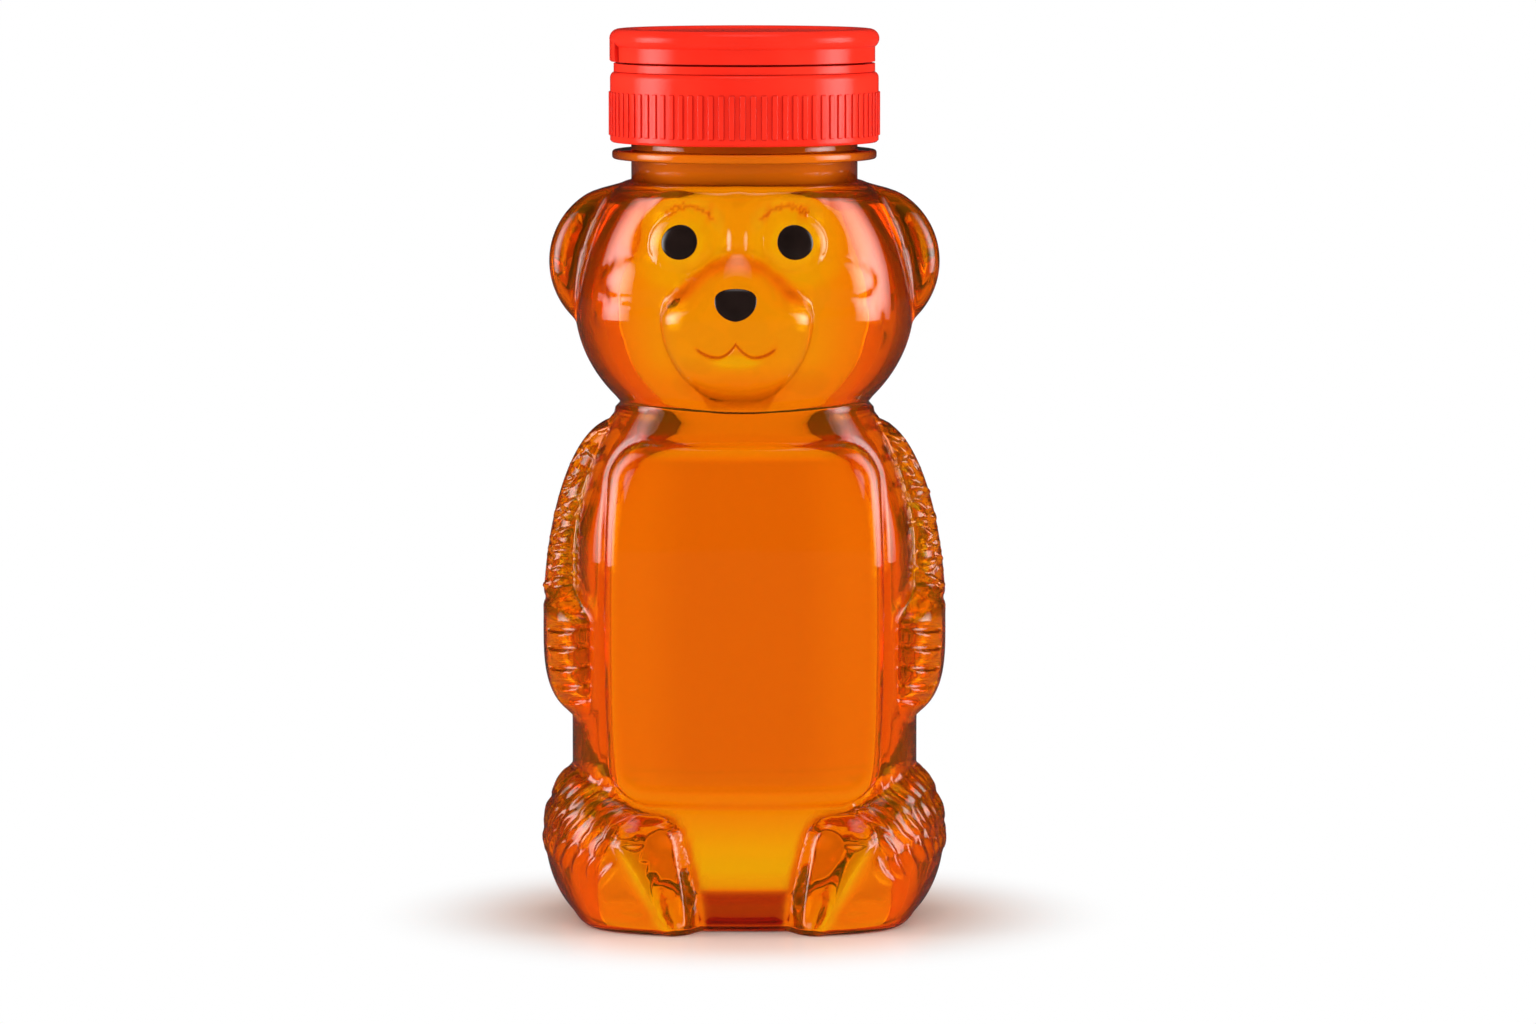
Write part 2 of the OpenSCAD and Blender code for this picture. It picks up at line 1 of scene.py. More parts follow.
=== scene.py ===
# %% [markdown]
# # A honey bear bottle
# The real object is one blown plastic bear full of honey, with a red screw closure and a lid that flips
# open. Its solids are already packed as a frame of bodies and joints, and this lesson dresses them: it
# builds the skin with its fur, face and fingers, the honey, the neck, the paint and the hinge anew, and
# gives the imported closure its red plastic.

import math
import random

import bmesh
import bpy
import numpy as np
from mathutils import Matrix, Vector


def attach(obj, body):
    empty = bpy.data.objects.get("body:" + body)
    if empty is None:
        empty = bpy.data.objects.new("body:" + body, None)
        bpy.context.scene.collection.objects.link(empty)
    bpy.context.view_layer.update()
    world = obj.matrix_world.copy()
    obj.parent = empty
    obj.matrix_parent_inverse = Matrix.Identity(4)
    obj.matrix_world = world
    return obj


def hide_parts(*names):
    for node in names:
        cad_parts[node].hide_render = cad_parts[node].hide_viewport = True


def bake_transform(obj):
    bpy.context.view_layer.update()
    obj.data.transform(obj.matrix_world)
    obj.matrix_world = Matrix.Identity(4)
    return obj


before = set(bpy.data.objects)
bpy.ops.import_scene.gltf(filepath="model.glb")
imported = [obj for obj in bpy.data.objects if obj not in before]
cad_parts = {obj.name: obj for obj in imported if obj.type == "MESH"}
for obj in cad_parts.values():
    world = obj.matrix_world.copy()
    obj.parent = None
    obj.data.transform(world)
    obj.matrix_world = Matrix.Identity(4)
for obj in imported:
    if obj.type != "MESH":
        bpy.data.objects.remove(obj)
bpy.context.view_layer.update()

# %% [markdown]
# ## The camera
# A long lens far away keeps the bottle's sides nearly straight, as in a catalogue picture. The camera
# stands a little above the cap and looks down, so the tops of the feet show. The lens follows from how
# many pixels a millimetre of the bottle gets.

# %% Camera
MM = 0.001
AXIS_Y = 2.8
DISTANCE, HEIGHT, AIM_HEIGHT = 1050, 165, 62.5
AXIS_LEFT = 3.64
IMAGE_PX, PX_PER_MM = 1536, 6.4516
SENSOR_WIDTH, CLIP_START = 36, 0.05

scene = bpy.context.scene
slant = math.hypot(DISTANCE, HEIGHT - AIM_HEIGHT)
pitch = math.atan2(HEIGHT - AIM_HEIGHT, DISTANCE)
camera_data = bpy.data.cameras.new("camera")
camera_data.sensor_width = SENSOR_WIDTH
camera_data.lens = camera_data.sensor_width * PX_PER_MM * slant / IMAGE_PX
camera_data.clip_start = CLIP_START
camera = bpy.data.objects.new("camera", camera_data)
camera.location = (AXIS_LEFT * MM, (AXIS_Y - DISTANCE) * MM, HEIGHT * MM)
camera.rotation_euler = (math.pi / 2 - pitch, 0, 0)
scene.collection.objects.link(camera)
scene.camera = camera
scene.view_settings.view_transform = "Standard"
print("lens", round(camera_data.lens, 1), "mm")

# %% [markdown]
# ## Helpers for shape
# The skin of a blown bottle is one surface, so one rule describes it: how far it lies from the axis at
# each angle and height. Small curves such as an ease, a dome and a soft maximum blend its parts into
# each other. Lengths are in millimetres. Angles count from the front in degrees: 90 is the bear's left.


# %% Small curves
def unit(t):
    return np.clip(t, 0, 1)


def ease(t):
    t = unit(t)
    return t * t * (3 - 2 * t)


def mix(a, b, t):
    return a + (b - a) * t


def dome(t, p=2):
    return np.power(np.maximum(1 - np.power(np.abs(t), p), 0), 1 / p)


def soft_max(a, b, fillet):
    h = np.maximum(fillet - np.abs(a - b), 0) / fillet
    return np.maximum(a, b) + h * h * fillet / 4


def sin(a):
    return np.sin(np.radians(a))


def cos(a):
    return np.cos(np.radians(a))


def oval(a, half_w, half_d, n):
    return np.power(np.power(np.abs(sin(a)) / half_w, n) + np.power(np.abs(cos(a)) / half_d, n), -1 / n)


print("a dome half way out:", round(float(dome(0.5)), 3))

# %% [markdown]
# ## The bear's body and head
# The body is a squarish oval that narrows over the shoulders, the head an egg that stands on it. The
# groove between them is where both rules meet.

# %% Body and head
TORSO_H, HEAD_H = 79.8, 34.2
NECK_Z = TORSO_H + HEAD_H
TORSO_W, TORSO_D, TORSO_SQUARE = 53.4, 42, 2.6
SHOULDER_DROP = 24
THROAT_W, THROAT_D, THROAT_TUCK = 37.8, 34, 1
HEAD_W, HEAD_D, HEAD_SQUARE = 52.4, 43, 2.25
HEAD_WIDE_UP, HEAD_TOP_HALF, CROWN_D = 15.2, 28.7, 5.4
JOWL_FULL, JOWL_ROUND = 0.98, 2.2
BASE_TAPER, BASE_TAPER_H = 0.9, 24
BORE_R = 31.6 / 2
NECK_R = BORE_R + 1.65
LEAST_R = 4


def torso_r(a, z):
    drop = np.minimum((TORSO_H - z) / SHOULDER_DROP, 1)
    f = 1 - np.power(1 - drop, 2)
    taper = BASE_TAPER * ease((BASE_TAPER_H - z) / BASE_TAPER_H)
    half_w = np.maximum(mix(THROAT_W, TORSO_W, f) / 2 - taper, LEAST_R)
    half_d = np.maximum(mix(THROAT_D, TORSO_D, f) / 2, LEAST_R)
    return oval(a, half_w, half_d, TORSO_SQUARE)


def head_r(a, z):
    up = z - TORSO_H - HEAD_WIDE_UP
    low_half = HEAD_WIDE_UP / math.sqrt(1 - (THROAT_W / HEAD_W) ** 2)
    half_w = HEAD_W / 2 * dome(np.where(up < 0, up / low_half, up / HEAD_TOP_HALF))
    jowl = dome(up / HEAD_WIDE_UP * JOWL_FULL, JOWL_ROUND)
    low_d = np.maximum(mix(THROAT_D / 2 - THROAT_TUCK, HEAD_D / 2, jowl), LEAST_R)
    high_d = mix(HEAD_D, 2 * NECK_R + CROWN_D, ease(up / (HEAD_H - HEAD_WIDE_UP))) / 2
    return oval(a, np.maximum(half_w, LEAST_R), np.where(up < 0, low_d, high_d), HEAD_SQUARE)


print("the body is", round(2 * float(torso_r(90, TORSO_H / 2)), 1), "mm wide")

# %% [markdown]
# ## Ears and arms
# Each limb swells out of the body. A height curve gives its outline seen from the front, and an edge
# curve rounds it off towards the body. An arm turns forwards at the wrist, where a shallow cuff parts
# it from the hand.

# %% Ears and arms
ROOT_SINK = 2
EAR_REACH, EAR_R, EAR_UP, EAR_T, EAR_ROUND = 30.15, 12.1, 21.7, 8.6, 2.6
ARM_REACH, ARM_SWELL, ARM_Z, ARM_UP, HAND_DOWN, WRIST_Z = 31.3, 11.3, 45, 32, 14.6, 49.4
ARM_TURN, HAND_TURN, ARM_SPREAD, HAND_SPREAD, WRIST_H = 93, 81, 17, 20, 6
ARM_ROUND, HAND_ROUND = 2.4, 3
CUFF_H, CUFF_DEPTH = 1.1, 0.35


def ear_r(a, z, skin):
    height = EAR_REACH - EAR_R + EAR_R * dome((z - TORSO_H - EAR_UP) / EAR_R)
    return mix(skin - ROOT_SINK, height, dome(skin * cos(a) / (EAR_T / 2), EAR_ROUND))


def arm_place(a, z):
    """Place across the arm: -1 at its front crease, 0 on its ridge, 1 at its back crease."""
    hand = 1 - ease((z - WRIST_Z) / WRIST_H + 0.5)
    return (np.abs(a) - mix(ARM_TURN, HAND_TURN, hand)) / mix(ARM_SPREAD, HAND_SPREAD, hand)


def arm_r(a, z, skin):
    above = dome((z - ARM_Z) / ARM_UP)
    below = dome((ARM_Z - z) / HAND_DOWN, HAND_ROUND)
    height = ARM_REACH - ARM_SWELL + ARM_SWELL * np.where(z > ARM_Z, above, below)
    cuff = CUFF_DEPTH * ease(1 - np.abs(z - WRIST_Z) / CUFF_H)
    return mix(skin - ROOT_SINK, height - cuff, dome(arm_place(a, z), ARM_ROUND))


print("across the arms", 2 * ARM_REACH, "mm, across the ears", 2 * EAR_REACH, "mm")

# %% [markdown]
# ## Legs and feet
# A leg starts as a round thigh at the side and ends in a foot that points forwards. The foot's inner
# wall leans outwards and its top corner is round. The sole is turned a little inwards, and a soft rib
# parts it from the foot's outer side.

# %% Legs and feet
LEG_REACH, LEG_SWELL, LEG_Z, LEG_UP = 31, 11, 12.9, 13
LEG_SINK, LEG_SQUARE = 3, 2.5
FOOT_REACH, FOOT_H, FOOT_GAP, FOOT_FLARE, FOOT_MIDDLE = 26.4, 18, 15, 7, 0.55
FOOT_CORNER, FOOT_LEAN, FOOT_WALL = 3.4, 1.6, 3
FOOT_UNDER, THIGH_UNDER, FOOT_ROUND, THIGH_ROUND = 6.9, 2.1, 3, 2
THIGH_FROM, THIGH_OVER, LEG_END, LEG_END_OVER = 34, 40, 108, 26
SOLE_DEPTH, SOLE_TOP, SOLE_FROM, SOLE_TO, SOLE_FADE = 2.2, 14, 5, 15, 4
RIB_PROUD, RIB_OUT, RIB_HALF = 0.7, 1.5, 5


def foot_inner_angle(z):
    gap = FOOT_GAP / 2 + FOOT_FLARE / 2 * np.power(unit(z / FOOT_H), FOOT_LEAN)
    corner = FOOT_CORNER * (1 - dome(unit((z - FOOT_H) / FOOT_CORNER + 1)))
    return np.degrees(np.arcsin(unit((gap + corner) / (FOOT_REACH - 1))))


def sole_edge(z):
    return foot_inner_angle(z) + mix(SOLE_FROM, SOLE_TO, unit(z / SOLE_TOP))


def leg_r(a, z, skin):
    side = ease((np.abs(a) - THIGH_FROM) / THIGH_OVER)
    top = mix(FOOT_H - LEG_Z * FOOT_MIDDLE, LEG_UP, side)
    middle = mix(LEG_Z * FOOT_MIDDLE, LEG_Z, side)
    under = middle + mix(FOOT_UNDER, THIGH_UNDER, side)
    along = np.where(z > middle, (z - middle) / top, (middle - z) / under)
    q = dome(along, mix(FOOT_ROUND, THIGH_ROUND, side))
    outline = oval(a, LEG_REACH - LEG_SWELL + LEG_SWELL * q, mix(TORSO_D / 2 - LEG_SINK, FOOT_REACH, q),
                   LEG_SQUARE)
    inner, rib_at = foot_inner_angle(z), sole_edge(z)
    held = ease((np.abs(a) - inner) / FOOT_WALL) * (1 - ease((np.abs(a) - LEG_END) / LEG_END_OVER))
    sole = ease(1 - (np.abs(a) - inner) / (rib_at - inner + 1)) * ease((SOLE_TOP + 3 - z) / SOLE_FADE)
    rib = ease(1 - np.abs(np.abs(a) - rib_at - RIB_OUT) / RIB_HALF) * ease((SOLE_TOP + 4 - z) / SOLE_FADE)
    return mix(skin - ROOT_SINK, outline - SOLE_DEPTH * sole + RIB_PROUD * rib, held)


print("the feet stand", FOOT_GAP, "mm apart")

# %% [markdown]
# ## The label panel
# The panel is a raised pad with a rounded edge and a narrow crease round its foot. Inside the edge
# lies a flat bare pane, a hair lower than the edge, where a label would be stuck. The distance to the
# panel's outline gives all of these.

# %% Label panel
PANEL_W, PANEL_H, PANEL_Z, PANEL_R, PANEL_BOW = 42.5, 55.3, 47, 6, 0.9
PANEL_PROUD, PANEL_EDGE, EDGE_ROUNDNESS = 1.1, 2.3, 0.8
CREASE_DEPTH, CREASE_OUT, CREASE_HALF = 0.25, 0.25, 0.8
LIP_PROUD, LIP_RISE, LIP_FALL = 0.16, 1.2, 0.9


def panel_inside(a, z, skin):
    """How far a point lies inside the outline of the panel, in millimetres."""
    bow = PANEL_BOW * np.power((z - PANEL_Z) / (PANEL_H / 2), 2)
    dx = np.abs(skin * sin(a)) - (PANEL_W / 2 - bow - PANEL_R)
    dz = np.abs(z - PANEL_Z) - (PANEL_H / 2 - PANEL_R)
    corner = np.hypot(np.maximum(dx, 0), np.maximum(dz, 0))
    inside = PANEL_R - corner - np.minimum(np.maximum(dx, dz), 0)
    return np.where(np.abs(a) < 90, inside, -9)


def panel_rise(a, z, skin):
    inside = panel_inside(a, z, skin)
    edge = PANEL_PROUD * np.power(dome(unit(1 - inside / PANEL_EDGE)), EDGE_ROUNDNESS)
    crease = -CREASE_DEPTH * ease(1 - np.abs(inside + CREASE_OUT) / CREASE_HALF)
    lip = LIP_PROUD * (ease(inside / LIP_RISE) - ease((inside - PANEL_EDGE) / LIP_FALL))
    return edge + crease + lip


print("panel", PANEL_W, "by", PANEL_H, "mm")

# %% [markdown]
# ## The muzzle
# The muzzle is a snout with steep sides and a soft chin. Above its widest place it narrows and sinks
# into the bridge between the eyes. Clear plastic shows a steep ledge as a black line, so the upper
# slope is kept gentle. The face is turned a little to one side, as on the real bottle.

# %% Muzzle
FACE_TURN = 2.7
MUZZLE_UP, MUZZLE_W, MUZZLE_PROUD, MUZZLE_TOP, MUZZLE_BOTTOM = 14.2, 21.4, 5.4, 10.2, 13.6
MUZZLE_ROUND, MUZZLE_NARROWING, CHIN_SOFT = 2.2, 2.8, 0.95
STEEP_SIDE, GENTLE_TOP = 0.55, 1.6
BRIDGE_W, BRIDGE_PROUD, BRIDGE_UP, BRIDGE_FADE = 3.6, 0.7, 26, 5


def face_place(a, z):
    """Place on the face, sideways and up from the throat, and whether it is in front."""
    turned = a + FACE_TURN
    return HEAD_D / 2 * sin(turned), z - TORSO_H, cos(turned) > 0


def muzzle(x, up):
    above = unit((up - MUZZLE_UP) / MUZZLE_TOP)
    below = unit((MUZZLE_UP - up) / MUZZLE_BOTTOM)
    high_w = mix(MUZZLE_W, BRIDGE_W, np.power(above, MUZZLE_NARROWING))
    half = np.where(up > MUZZLE_UP, high_w, MUZZLE_W * dome(below, MUZZLE_ROUND)) / 2
    high = mix(MUZZLE_PROUD, BRIDGE_PROUD, np.power(above, 2)) * (1 - ease((up - BRIDGE_UP) / BRIDGE_FADE))
    low = MUZZLE_PROUD * np.power(1 - below ** 2, CHIN_SOFT)
    across = unit(1 - np.power(np.abs(x) / np.maximum(half, 0.1), MUZZLE_ROUND))
    slope = mix(STEEP_SIDE, GENTLE_TOP, ease(above * 2))
    return np.where(up > MUZZLE_UP, high, low) * np.power(across, slope)


print("the muzzle stands out by", MUZZLE_PROUD, "mm")

# %% [markdown]
# ## Eyes, cheeks and mouth
# Eye mounds, brow rings and cheeks are mounds on the head, each a dome over an oval. The mouth and the
# line over the chin are narrow grooves along a curve.

# %% Mounds and lines of the face
EYE_UP, EYE_OUT, EYE_MOUND_R, EYE_MOUND_PROUD = 25.7, 8.5, 4.6, 1.0
SOCKET_R, SOCKET_DEPTH, SOCKET_RIM = 6.9, 0.45, 2.4
BROW_R, BROW_HALF, BROW_PROUD = 8.1, 2.8, 0.4
CHEEKS = (((13.4, 19.6), (4.6, 3.7), 0.7), ((15, 13.6), (3.6, 3.3), 0.45))
MOUTH_UP, MOUTH_DIP, MOUTH_HALF, MOUTH_OUTER, MOUTH_END = 10.6, 2.1, 2.4, 3.4, 5.4
LIP_UP, LIP_SIZE, LIP_HEIGHT = 7.8, (3.2, 0.95), 0.35
CHIN_UP, CHIN_DIP, CHIN_HALF = 4.4, 1.7, 6.6
MOUTH_GROOVE, CHIN_GROOVE, LINE_FADE = (0.5, 0.42), (0.7, 0.15), 0.8


def mound(x, up, at, half, rise):
    return rise * dome(np.hypot((x - at[0]) / half[0], (up - at[1]) / half[1]))


def groove(distance, half, depth):
    return -depth * np.power(np.maximum(1 - np.power(distance / half, 2), 0), 1.5)


def face_rise(a, z):
    x, up, front = face_place(a, z)
    ex, ez = np.abs(x) - EYE_OUT, up - EYE_UP
    eye_t = np.hypot(ex, ez)
    brow = ease(1 - np.abs(eye_t - BROW_R) / BROW_HALF) * ease((5.5 - ex) / 3) * ease((ez + 3) / 4)
    rise = muzzle(x, up) + BROW_PROUD * brow - SOCKET_DEPTH * ease((SOCKET_R - eye_t) / SOCKET_RIM)
    rise = rise + EYE_MOUND_PROUD * dome(eye_t / EYE_MOUND_R)
    for at, half, height in CHEEKS:
        rise = rise + mound(np.abs(x), up, at, half, height)
    return np.where(front, rise, 0)


def chin_line(x):
    return CHIN_UP - CHIN_DIP * (1 - np.power(x / CHIN_HALF, 2))


def mouth_line(x):
    """The mouth dips on each side of the middle, like a wide letter w."""
    side = np.abs(x)
    reach = np.where(side < MOUTH_HALF, MOUTH_HALF, MOUTH_OUTER)
    return MOUTH_UP - MOUTH_DIP * (1 - np.power((side - MOUTH_HALF) / reach, 2))


def face_lines(a, z):
    x, up, front = face_place(a, z)
    lines = groove(up - mouth_line(x), *MOUTH_GROOVE) * ease((MOUTH_END - np.abs(x)) / LINE_FADE)
    lines = lines + mound(x, up, (0, LIP_UP), LIP_SIZE, LIP_HEIGHT)
    lines = lines + groove(up - chin_line(x), *CHIN_GROOVE) * ease((CHIN_HALF - np.abs(x)) / LINE_FADE)
    return np.where(front, lines, 0)


print("the eyes are", 2 * EYE_OUT, "mm apart")

# %% [markdown]
# ## Fur, fingers and toes
# The mould of such a bottle is engraved by hand with short strokes: ridges for the fur of arms and
# thighs, grooves between the fingers and over the toes, and a few hairs for the eyebrows. Each stroke
# is a small lens on the unrolled skin. A seeded random generator makes the strokes uneven but the
# same in each run.

# %% A stroke of the engraver
UNROLL_R = 27
rng = random.Random(38)


class Stroke:
    """A lens on the unrolled skin: a ridge, or a groove where its height is below nought."""

    def __init__(self, angle, z, slope, length, width, bend, height):
        self.at = (math.radians(angle) * UNROLL_R, z)
        self.slope, self.half_l, self.half_w = slope, length / 2, width / 2
        self.bend, self.height = bend, height

    def lift(self, s, z):
        ds, dz = s - self.at[0], z - self.at[1]
        along = (ds * cos(self.slope) + dz * sin(self.slope)) / self.half_l
        taper = np.sqrt(np.maximum(1 - along ** 2, 1e-6))
        sideways = dz * cos(self.slope) - ds * sin(self.slope) - self.bend * along ** 2
        across = sideways / (self.half_w * taper)
        return self.height * taper * np.power(np.maximum(1 - across ** 2, 0), 0.7)


def uneven(middle, share):
    return middle * rng.uniform(1 - share, 1 + share)


print("skin unrolled at radius", UNROLL_R, "mm")

# %% [markdown]
# The fur of an arm follows its two creases: long ridges at the crease, shorter and lower ones towards
# the middle. The fur of a thigh is a fan of curved strokes that run down and outwards.

# %% Fur
ARM_FUR_ROWS, ARM_FUR_Z, ARM_FUR_STEP, ARM_FUR_W = 16, 52, 1.65, 1.15
ARM_FUR = ((0.8, 3.8, 0.6), (0.52, 2.4, 0.48), (0.34, 1.0, 0.18))
THIGH_ROWS, THIGH_FROM_ANGLE, THIGH_STEP, THIGH_TOP, THIGH_ROW_H = 3, 44, 5.2, 21.5, 4.6
THIGH_SLOPE, THIGH_L, THIGH_W, THIGH_RIDGE = 56, 5.2, 1.35, 0.42


def arm_fur(side):
    for edge, lean in ((-1, 1), (1, -1)):
        for row in range(ARM_FUR_ROWS):
            z = ARM_FUR_Z + ARM_FUR_STEP * row
            for place, length, height in ARM_FUR:
                angle = ARM_TURN + edge * ARM_SPREAD * uneven(place, 0.12)
                slope = side * lean * rng.uniform(-45, 25)
                yield Stroke(side * angle, z + rng.uniform(-0.8, 0.8), slope, uneven(length, 0.3),
                             uneven(ARM_FUR_W, 0.25), rng.uniform(-1, 1), uneven(height, 0.2))


def thigh_fur(side):
    for row in range(THIGH_ROWS):
        for k in range(13):
            angle = THIGH_FROM_ANGLE + THIGH_STEP * k + THIGH_STEP / 2 * (row % 2)
            low = 0.05 * abs(angle - 75) + (3.5 - row) * ease((60 - angle) / 16)
            z = THIGH_TOP - THIGH_ROW_H * row - low
            yield Stroke(side * angle, z + rng.uniform(-0.5, 0.5), -side * uneven(THIGH_SLOPE, 0.12),
                         uneven(THIGH_L, 0.15), uneven(THIGH_W, 0.15), side * rng.uniform(0.2, 0.9),
                         uneven(THIGH_RIDGE, 0.15))


def both_sides(*kinds):
    return [stroke for kind in kinds for side in (-1, 1) for stroke in kind(side)]


STROKES = both_sides(arm_fur, thigh_fur)
print("strokes of fur:", len(STROKES))

# %% [markdown]
# The gaps between the fingers are long grooves across the front of the hand, the toes short ones over
# the top of the foot. The eyebrows are fine slanted hairs in a low arch.

# %% Fingers, toes and eyebrows
FINGER_GAPS, FINGER_TURN = (45.6, 42.8, 39.7, 36.9, 34.6), 69
TOE_GAPS, TOE_TURN = (13.9, 14.95, 16, 17.05), 38
HAIRS, HAIR_FROM, HAIR_STEP, HAIR_Z, HAIR_ARCH = 12, 11, 1.7, 111.0, 0.05


def fingers(side):
    return [Stroke(side * FINGER_TURN, z, side * -6, 7.4, 1.7, 0, -0.75) for z in FINGER_GAPS]


def toes(side):
    return [Stroke(side * TOE_TURN, z, side * 8, 4.6, 1, 0.3, -0.4) for z in TOE_GAPS]


def eyebrow(side):
    for k in range(HAIRS):
        angle = side * (HAIR_FROM + HAIR_STEP * k) - FACE_TURN
        z = HAIR_Z - HAIR_ARCH * (k - HAIRS / 2) ** 2 + rng.uniform(-0.2, 0.2)
        yield Stroke(angle, z, side * uneven(28, 0.3), uneven(1.9, 0.2), 0.6, 0.1, uneven(0.16, 0.2))


def stroke_rise(a, z, strokes):
    s = np.radians(a) * UNROLL_R
    rise = np.zeros_like(s)
    for stroke in strokes:
        reach = stroke.half_l + 1
        near = (np.abs(s - stroke.at[0]) < reach) & (np.abs(z - stroke.at[1]) < reach)
        lift = stroke.lift(s[near], z[near])
        rise[near] = np.where(np.abs(lift) > np.abs(rise[near]), lift, rise[near])
    return rise


STROKES += both_sides(fingers, toes)
BROW_HAIRS = both_sides(eyebrow)
STROKES += BROW_HAIRS
print("strokes on the skin:", len(STROKES))

# %% [markdown]
# ## The whole skin
# The plain skin joins body, head, ears, arms, legs and panel with small fillets. It also gives the
# inner side of the wall, which a blown bottle has almost smooth. The engraved lines are added for the
# outside alone.

# %% Radius of the skin at any angle and height
CROWN_R, BASE_R = 2.2, 1.2
THROAT_FILLET, LIMB_FILLET = 1, 0.6
ALMOST = 0.9999


def plain_r(a, z):
    core = soft_max(torso_r(a, z), head_r(a, z), THROAT_FILLET)
    r = np.where(z > TORSO_H, soft_max(core, ear_r(a, z, core), LIMB_FILLET), core)
    r = np.where(z > TORSO_H - 4, r + face_rise(a, z), r)
    r = np.where(z < TORSO_H, soft_max(r, arm_r(a, z, core), LIMB_FILLET), r)
    r = np.where(z < LEG_Z + LEG_UP + 2, soft_max(r, leg_r(a, z, core), LIMB_FILLET), r)
    r = r + panel_rise(a, z, core)
    crown = dome(unit((z - NECK_Z + CROWN_R) / CROWN_R) * ALMOST)
    r = mix(NECK_R, r, np.where(z > NECK_Z - CROWN_R, crown, 1))
    return r - BASE_R * (1 - dome(unit(1 - z / BASE_R) * ALMOST))


def skin_r(a, z):
    return plain_r(a, z) + face_lines(a, z) + stroke_rise(a, z, STROKES)


print("from the axis to the nose:", round(float(plain_r(-FACE_TURN, TORSO_H + MUZZLE_UP)), 1), "mm")

# %% [markdown]
# ## Spinning the skin
# A lathe makes a good start for a bottle: a straight line of points is spun round the axis into a
# tube, and then each point of the tube is pushed to its place by the rule above. The height of a
# point on the plain tube says how far along the profile it lies.

# %% A tube that is ready to be pushed into shape
MERGE = 1e-7


def spun_tube(levels, columns):
    tube = bmesh.new()
    line = [tube.verts.new((1, 0, level)) for level in levels]
    edges = [tube.edges.new(pair) for pair in zip(line, line[1:])]
    bmesh.ops.spin(tube, geom=line + edges, cent=(0, 0, 0), axis=(0, 0, 1), angle=2 * math.pi,
                   steps=columns, use_merge=True)
    return tube


def crowded(turn):
    """Crowds the columns to the front and the sides. Both run from -180 to 180 degrees."""
    return turn - 24 * sin(turn) + 6 * sin(2 * turn)


def settle(tube, r, angle, z):
    """Moves each point of a tube to its radius, angle and height, and merges the points that meet."""
    placed = np.stack([r * sin(angle), AXIS_Y - r * cos(angle), z], axis=1) * MM
    for vert, place in zip(tube.verts, placed):
        vert.co = place
    bmesh.ops.remove_doubles(tube, verts=tube.verts, dist=MERGE)


def push(tube, rule):
    """Settles a tube by rule(angle, level), which gives radius and height."""
    co = np.array([v.co for v in tube.verts])
    angle = crowded(np.degrees(np.arctan2(co[:, 0], -co[:, 1])))
    r, z = rule(angle, co[:, 2])
    settle(tube, r, angle, z)


def object_from(bm, name, smooth=True):
    """Points the faces outwards and makes an object of them."""
    bmesh.ops.recalc_face_normals(bm, faces=bm.faces)
    mesh = bpy.data.meshes.new(name)
    bm.to_mesh(mesh)
    bm.free()
    if smooth:
        mesh.polygons.foreach_set("use_smooth", [True] * len(mesh.polygons))
    piece = bpy.data.objects.new(name, mesh)
    scene.collection.objects.link(piece)
    return piece


print("the column at 90 degrees moves to", round(float(crowded(90))))

# %% [markdown]
# The profile starts in the middle of the pushed-up base, at level -1, reaches the standing ring at
# level 0 and then runs up the sides, where the level is the height above the floor. The inner side
# follows the plain skin at the wall's thickness, and ends in the bore.

# %% Profile of the wall, outside and inside
WALL, PUSH_UP = 0.8, 2.2
STANDING_AT = 0.86
BASE_LEVELS = [-1, -0.7, -0.4, -0.25, STANDING_AT - 1, -0.07]
TOP_LEVELS = [NECK_Z - 1.2, NECK_Z - 0.5, NECK_Z]


def side_levels(rows, heel_rows):
    heel = [BASE_R * (1 - math.cos(math.radians(90 * i / heel_rows))) for i in range(heel_rows)]
    return heel + list(np.linspace(BASE_R, NECK_Z - CROWN_R, rows))


def base_place(a, level, inward):
    share = unit(1 + level)
    z = PUSH_UP * np.maximum(1 - np.power(share / STANDING_AT, 3), 0)
    r = mix(torso_r(a, 0 * a) - BASE_R, plain_r(a, 0 * a), np.power(share, 6))
    return share * (r - inward), z


def outside_rule(a, level):
    base_radius, base_z = base_place(a, level, 0)
    side_radius = skin_r(a, np.maximum(level, 0))
    return np.where(level < 0, base_radius, side_radius), np.where(level < 0, base_z, level)


def inside_rule(inward):
    def rule(a, level):
        base_radius, base_z = base_place(a, level, inward)
        z = np.maximum(level, 0)
        wide = plain_r(a, np.minimum(z, NECK_Z - CROWN_R)) - inward
        r = mix(wide, BORE_R + WALL - inward, unit((z - NECK_Z + CROWN_R) / CROWN_R * 1.7))
        z = np.maximum(z, inward + 0.2 * np.minimum(z, BASE_R))
        return np.where(level < 0, base_radius, r), np.where(level < 0, base_z + inward, z)
    return rule


print("base levels:", len(BASE_LEVELS))

# %% [markdown]
# Fine strokes need many points, and plain places don't. So the tube starts coarse, the faces under the
# engraving are split once, and those under the finest lines once more, before the points move.


# %% Where the skin gets more faces
def engraved(angle, level):
    """Where the outside carries fine lines, creases and strokes."""
    side = abs(angle)
    face = abs(angle + FACE_TURN) < 46 and 79 < level < 113.5
    arm = 58 < side < 112 and 32 < level < 77
    leg = side < 106 and 1 < level < 26.5
    ear = 74 < side < 106 and 86 < level < 112
    panel = side < 70 and -1.6 < float(panel_inside(angle, level, torso_r(angle, level))) < 3.4
    return face or arm or leg or ear or panel


def finest(angle, level):
    """The fur on the arms, the mouth and the gaps between the fingers."""
    side = abs(angle)
    fur = 74.5 < side < 88 and 50.5 < level < 79
    mouth = abs(angle + FACE_TURN) < 16 and 86.7 < level < 91.3
    hand = 60 < side < 77 and 33 < level < 47.5
    return fur or mouth or hand


